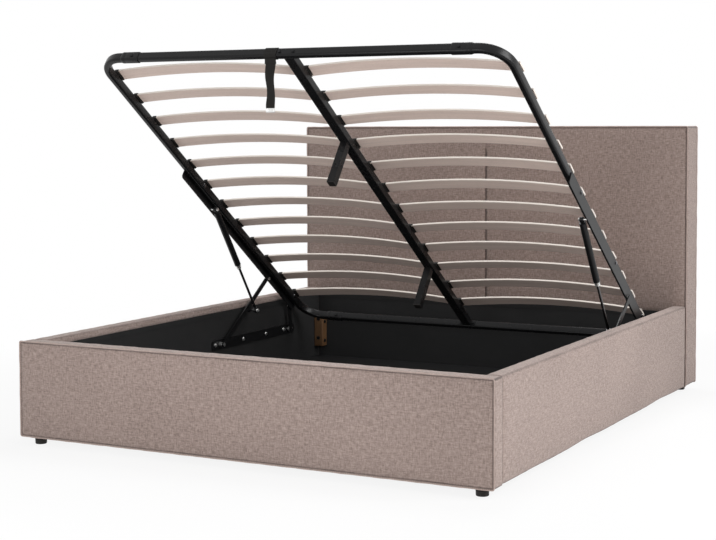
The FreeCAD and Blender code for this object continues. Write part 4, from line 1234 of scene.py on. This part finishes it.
class BED_OT_corner_blocks(bpy.types.Operator):
    """Plane the corner blocks, with eased edges"""
    bl_idname = "bed.corner_blocks"
    bl_label = "Corner blocks"

    def execute(self, context):
        surface = Surface()
        ease = np.concatenate([EASE_DEPTHS, [0.0, 0.0], EASE_DEPTHS[::-1]])
        for points in solids("corner_blocks"):
            width, depth, height = np.ptp(points, axis=0)
            ring, normals, _ = section(width, depth, 0.003, 0.009)
            rise = np.concatenate([EASE_LINES, np.array([0.33, 0.67]) * height,
                                   height - EASE_LINES[::-1]])
            grid = np.empty((len(rise), len(ring), 3))
            grid[..., :2] = middle_of(points)[:2] + ring - normals * ease[:, None, None]
            grid[..., 2] = points[:, 2].min() + rise[:, None]
            surface.solid(grid)
        surface.piece("planed_corner_blocks", "bed_box", "timber", ["corner_blocks"], sharp=40)
        return {"FINISHED"}


# Struts

# A collar's radii and heights in millimetres, outside and then inside, from the end of the barrel
COLLAR_PROFILE = np.array([(6.1, 0.6), (7.6, 0.6), (9.4, -0.2), (10.5, -1.4), (10.5, -6.0),
                           (9.9, -6.6), (9.9, -7.8), (10.5, -8.4), (10.5, -17.0), (12.2, -17.8),
                           (13.9, -18.6), (13.9, -20.4), (12.8, -20.8), (9.0, -17.4), (9.0, -1.6),
                           (6.1, -0.4)])
# The radius of a rod's eye, and a nut's radius and thickness
EYE_RADIUS, NUT_RADIUS, NUT_THICKNESS = 0.0105, 0.0075, 0.0055


class BED_OT_struts(bpy.types.Operator):
    """Fit the struts' bright guide collars and the nuts on their lower pins"""
    bl_idname = "bed.struts"
    bl_label = "Strut fittings"

    def execute(self, context):
        for side, sign in SIDES.items():
            axis = np.array(JOINTS[f"{side}_rod_slide"]["axis"], float)
            stud = np.array(JOINTS[f"{side}_barrel_hinge"]["pos_m"], float)
            barrel = np.concatenate(solids(f"{side}_strut_barrel"))
            rod = np.concatenate(solids(f"{side}_strut_rod"))
            stud[0] = middle_of(barrel)[0]
            end = stud + axis * ((barrel - stud) @ axis).max()
            collar = Surface()
            collar.solid(turned(COLLAR_PROFILE / 1000, end, axis, 40), wrap_rows=True)
            collar.piece(f"{side}_strut_collar", f"{side}_barrel", "zinc", sharp=40)
            eye = stud + axis * (((rod - stud) @ axis).max() - EYE_RADIUS)
            eye[0] = sign * np.abs(rod[:, 0]).min()
            nut = Surface()
            hex_head(nut, eye, -sign * ACROSS, NUT_RADIUS, NUT_THICKNESS)
            nut.piece(f"{side}_strut_nut", f"{side}_rod", "zinc", sharp=35)
        return {"FINISHED"}


# Bent side tubes

# Side tubes: the rounding of the section, the radius of a bend, and where the tube ends in a socket
TUBE_ROUND, BEND_RADIUS, TUBE_END = 0.008, 0.100, 0.072
# A socket's lines from its mouth, and how much of its growth over the tube it has there
SOCKET_LINES = np.array([0.0, 0.0007, 0.0025, 0.058, 0.060, 0.062, 0.074, 0.080])
SOCKET_SHARES = np.array([0.6, 0.9, 1.0, 1.0, 0.8, 1.0, 1.0, 0.05])
SOCKET_GROWTH = 0.0023


class BED_OT_side_tubes(bpy.types.Operator):
    """Bend the side tubes: a rounded section carried round two bends, with a socket at each end"""
    bl_idname = "bed.side_tubes"
    bl_label = "Side tubes"

    def execute(self, context):
        for side, sign in SIDES.items():
            self.side_tube(side, sign)
        return {"FINISHED"}

    def side_tube(self, side, sign):
        """The path runs along one end, round a quarter circle, along the side and round the other."""
        node = f"{side}_side_tube"
        place = to_base(np.concatenate(solids(node)))
        foot = TUBE_WIDTH / 2
        head = place[:, 1].max() - SOCKET_GROWTH - foot
        start, outer = np.abs(place[:, 0]).min(), np.abs(place[:, 0]).max() - foot
        angle = np.linspace(-math.pi / 2, 0.0, 17)
        foot_turn = np.stack([np.cos(angle), np.sin(angle)], 1)
        head_turn = foot_turn[::-1] * (1.0, -1.0)
        middle, near, far = outer - BEND_RADIUS, foot + BEND_RADIUS, head - BEND_RADIUS
        run = np.linspace(near, far, 9)[1:-1]
        path = np.concatenate([[(start + TUBE_END, foot)], (middle, near) + BEND_RADIUS * foot_turn,
                               np.stack([0 * run + outer, run], 1),
                               (middle, far) + BEND_RADIUS * head_turn, [(start + TUBE_END, head)]])
        normal = np.concatenate([[(0.0, -1.0)], foot_turn, np.stack([0 * run + 1, 0 * run], 1),
                                 head_turn, [(0.0, 1.0)]])
        ring = section(TUBE_WIDTH, TUBE_HEIGHT, TUBE_ROUND, 0.012)[0]
        surface = Surface()
        surface.solid(on_base(sign * (path[:, :1] + normal[:, :1] * ring[:, 0]),
                              path[:, 1:] + normal[:, 1:] * ring[:, 0], ring[:, 1]))
        unit = ring / (TUBE_WIDTH / 2, TUBE_HEIGHT / 2)
        x = sign * (start + SOCKET_LINES)[:, None]
        grown = (SOCKET_SHARES * SOCKET_GROWTH)[:, None]
        for level in (foot, head):
            surface.solid(on_base(x, level + unit[:, 0] * (TUBE_WIDTH / 2 + grown),
                                  unit[:, 1] * (TUBE_HEIGHT / 2 + grown)))
        surface.piece(f"{side}_bent_tube", "lift_base", "black_tube", [node], sharp=40)


# Pull strap

# Webbing: the loop's wall and corners, the strap's wall, and where its doubled tab ends on the way down
LOOP_WALL, LOOP_CORNER, STRAP_WALL = 0.0025, 0.009, 0.0024
TAB_END, TAB_LINES = (0.105, 0.125), (0.106, 0.112, 0.124)
# The clip, row by row: how far down, how much its end is eased, and how much its panel is pressed
CLIP_ROWS = np.array([(0.0, 1.0, 0.0), (0.02, 0.4, 0.0), (0.08, 0.0, 0.0), (0.20, 0.0, 0.0),
                      (0.27, 0.0, 1.0), (0.5, 0.0, 1.0), (0.73, 0.0, 1.0), (0.80, 0.0, 0.0),
                      (0.92, 0.0, 0.0), (0.98, 0.4, 0.0), (1.0, 1.0, 0.0)])
CLIP_PRESS, CLIP_BORDER = 0.0009, 0.005


class BED_OT_pull_strap(bpy.types.Operator):
    """Sew the webbing loop and the pull strap, and press its metal clip"""
    bl_idname = "bed.pull_strap"
    bl_label = "Pull strap"

    def execute(self, context):
        self.loop()
        self.strap()
        self.clip()
        return {"FINISHED"}

    def loop(self):
        """A flat band carried round the tube's rounded section."""
        place = to_base(np.concatenate(solids("strap_loop")))
        low, high = place.min(0), place.max(0)
        path, normals = rounded_loop(low[1:] + LOOP_WALL / 2, high[1:] - LOOP_WALL / 2, LOOP_CORNER, 0.003)
        run = np.cumsum(np.linalg.norm(path - np.roll(path, 1, 0), axis=1))
        band = section(high[0] - low[0], LOOP_WALL, 0.0011, 0.0022)[0]
        lay = 0.00035 * ripple(run, (run[-1] / 3, run[-1] / 7), 1.0)
        x = (low[0] + high[0]) / 2 + band[:, 0]
        out = band[:, 1] + lay[:, None] * (band[:, 1] > 0)
        grid = on_base(x, path[:, :1] + normals[:, :1] * out, path[:, 1:] + normals[:, 1:] * out)
        weave = np.stack(np.broadcast_arrays(band[:, 0], run[:, None]), -1)
        surface = Surface()
        surface.solid(grid, weave, wrap_rows=True)
        piece = surface.piece("webbing_loop", "lift_base", "webbing", ["strap_loop"])

    def strap(self):
        """A flat band hung from the loop: a doubled tab, then a band that wavers and twists."""
        low, high = (np.array(corner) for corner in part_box("pull_strap"))
        middle, width = (low + high) / 2, high[0] - low[0]
        band = section(width, STRAP_WALL, 0.0010, 0.0022)[0]
        down = np.sort(np.append(np.linspace(0.0, 1.0, 60), TAB_LINES))[:, None]
        hang = smooth_step(down, 0.0, 0.18) * (1 - 0.7 * smooth_step(down, 0.85, 1.0))
        sway = 0.0032 * hang * np.sin(down * 8.4 + 0.6)
        shift = 0.0024 * hang * np.sin(down * 9.1 + 2.0)
        twist = 0.20 * hang * np.sin(down * 6.2 + 1.0)
        cup = 0.0020 * hang * np.sin(down * 7.0)
        bend = cup * (1 - (2 * band[:, 0] / width) ** 2)
        tab = 1 - smooth_step(down, *TAB_END)
        wide = band[:, 0] * (1.02 + 0.16 * tab - 0.08 * down)
        grid = np.empty((len(down), len(band), 3))
        grid[..., 0] = middle[0] + shift + wide * np.cos(twist)
        grid[..., 1] = middle[1] + sway + bend + wide * np.sin(twist) + band[:, 1] * (1 + 0.9 * tab)
        grid[..., 2] = high[2] - down * (high[2] - low[2])
        weave = np.stack(np.broadcast_arrays(band[:, 0], grid[..., 2]), -1)
        surface = Surface()
        surface.solid(grid, weave)
        piece = surface.piece("webbing_strap", "strap", "webbing", ["pull_strap"])

    def clip(self):
        """A folded metal end: a rounded slip with a pressed panel on both sides."""
        low, high = (np.array(corner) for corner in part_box("strap_clip"))
        middle, size = (low + high) / 2, high - low
        ring, normals, _ = section(size[0], size[1], 0.0011, 0.0012)
        down, ease, press = CLIP_ROWS.T[..., None]
        panel = (np.abs(ring[:, 0]) < size[0] / 2 - CLIP_BORDER) * np.abs(normals[:, 1])
        inset = CLIP_PRESS * (ease + press * panel)
        grid = np.empty((len(down), len(ring), 3))
        grid[..., :2] = middle[:2] + ring - normals * inset[..., None]
        grid[..., 2] = high[2] - down * size[2]
        surface = Surface()
        surface.solid(grid)
        surface.piece("pressed_clip", "strap", "zinc", ["strap_clip"], sharp=40)


# Finishes of the pieces that stay as they are in the frame

class BED_OT_frame_finishes(bpy.types.Operator):
    """Give the tubes, rails, links, pins, boards and other kept pieces their finishes"""
    bl_idname = "bed.frame_finishes"
    bl_label = "Frame finishes"

    def execute(self, context):
        for name, node in frame["nodes"].items():
            if node.hide_render:
                continue
            node.data.materials.clear()
            node.data.materials.append(finish_for(SLOTS[name]))
        return {"FINISHED"}


# Stage

# Lamps: the property with the power, then the place, the size and the point aimed at, and the spread
LAMPS = {
    "key_lamp": ("key", (4.9, -0.35, 3.2), (3.0, 3.0), (0.1, -2.0, 0.5), math.radians(125)),
    "fill_lamp": ("fill", (-0.2, -3.6, 0.8), (1.8, 1.3), (0.0, 0.0, 0.9), math.pi),
    "top_lamp": ("overhead", (0.0, 1.2, 4.2), (1.4, 2.0), (0.0, -0.6, 0.4), math.pi),
}
FLOOR_HALF = 14.0


class BED_OT_stage(bpy.types.Operator):
    """Set the camera, the lamps, the pale floor and the white surroundings"""
    bl_idname = "bed.stage"
    bl_label = "Stage"

    def execute(self, context):
        studio = context.scene.bed_studio
        camera = bpy.data.objects.new("camera", bpy.data.cameras.new("camera"))
        camera.data.lens = studio.lens
        camera.data.sensor_width = 36.0
        camera.data.sensor_fit = "HORIZONTAL"
        camera.data.shift_y = studio.shift
        camera.data.clip_end = 60.0
        camera.location = studio.eye
        camera.rotation_euler = (math.radians(90) - studio.pitch, studio.roll, studio.yaw)
        context.scene.camera = camera
        key, fill, top = (self.lamp(name, getattr(studio, power), *rest)
                          for name, (power, *rest) in LAMPS.items())
        floor = self.floor()
        for thing in (camera, key, fill, top, floor):
            context.scene.collection.objects.link(thing)
        self.surroundings(context.scene, studio.sky)
        context.scene.view_settings.view_transform = "Standard"
        return {"FINISHED"}

    @staticmethod
    def lamp(name, power, place, size, target, spread):
        """A soft lamp of a width and a height, turned to a point."""
        lamp = bpy.data.lights.new(name, "AREA")
        lamp.shape = "RECTANGLE"
        lamp.energy, (lamp.size, lamp.size_y) = power, size
        lamp.spread = spread
        thing = bpy.data.objects.new(name, lamp)
        thing.location = place
        x, y, z = (t - p for t, p in zip(target, place))
        thing.rotation_euler = (math.atan2(math.hypot(x, y), -z), 0.0, math.atan2(y, x) - math.pi / 2)
        return thing

    @staticmethod
    def floor():
        """A pale floor that keeps the bed's shadow and reads white to the camera.

        Round the bed a share of its own shading stays.  It fades out along an ellipse, where
        x^2 / 4 + y^2 / 5.3 goes from 0.7 to 1.9.
        """
        corners = [(x * FLOOR_HALF, y * FLOOR_HALF, 0.0) for x, y in ((-1, -1), (1, -1), (1, 1), (-1, 1))]
        mesh = bpy.data.meshes.new("studio_floor")
        mesh.from_pydata(corners, [], [(0, 1, 2, 3)])
        pale = Finish("studio_floor")
        matt = pale.node("ShaderNodeBsdfDiffuse", {}, {"Color": (0.82, 0.82, 0.82, 1)})
        glow = pale.node("ShaderNodeEmission", {}, {"Color": (1, 1, 1, 1), "Strength": 1.0})
        x, y = (pale.part(pale.coordinates(), letter) for letter in "XY")
        away = ((x * x / 4.0 + y * y / 5.3 - 0.7) / 1.2).limit()
        share = pale.seen() * (away * 0.12 + 0.88)
        both = pale.node("ShaderNodeMixShader", {}, {0: share, 1: matt, 2: glow})
        pale.node("ShaderNodeOutputMaterial", {}, {"Surface": both})
        mesh.materials.append(pale.made)
        return bpy.data.objects.new("studio_floor", mesh)

    @staticmethod
    def surroundings(scene, strength):
        """White to the camera and in reflections, and an even soft light for everything else."""
        sky = Finish("studio", "worlds")
        scene.world = sky.made
        level = sky.seen() * (1.0 - strength) + strength
        light = sky.node("ShaderNodeBackground", {}, {"Color": (1, 1, 1, 1), "Strength": level})
        sky.node("ShaderNodeOutputWorld", {}, {"Surface": light})


class BED_PT_panel(bpy.types.Panel):
    """Lists the bed's steps and sizes"""
    bl_idname = "BED_PT_panel"
    bl_label = "Bed"
    bl_space_type = "VIEW_3D"
    bl_region_type = "UI"
    bl_category = "Bed"

    def draw(self, context):
        for step in STEPS:
            self.layout.operator(step.bl_idname)
        for name, group in GROUPS.items():
            box = self.layout.box()
            for field in group.__annotations__:
                box.prop(getattr(context.scene, name), field)


STEPS = (BED_OT_padded_covers, BED_OT_linings, BED_OT_slats, BED_OT_slat_sleeves, BED_OT_side_tubes,
         BED_OT_fasteners, BED_OT_feet, BED_OT_corner_blocks, BED_OT_struts, BED_OT_pull_strap,
         BED_OT_frame_finishes, BED_OT_stage)
CLASSES = (*GROUPS.values(), *STEPS, BED_PT_panel)


def register():
    for each in CLASSES:
        bpy.utils.register_class(each)
    for name, group in GROUPS.items():
        setattr(bpy.types.Scene, name, bpy.props.PointerProperty(type=group))


def unregister():
    for name in GROUPS:
        delattr(bpy.types.Scene, name)
    for each in reversed(CLASSES):
        bpy.utils.unregister_class(each)


def main():
    """Register the classes and run every step in order."""
    register()
    for step in STEPS:
        space, name = step.bl_idname.split(".")
        getattr(getattr(bpy.ops, space), name)()


if __name__ == "__main__":
    main()
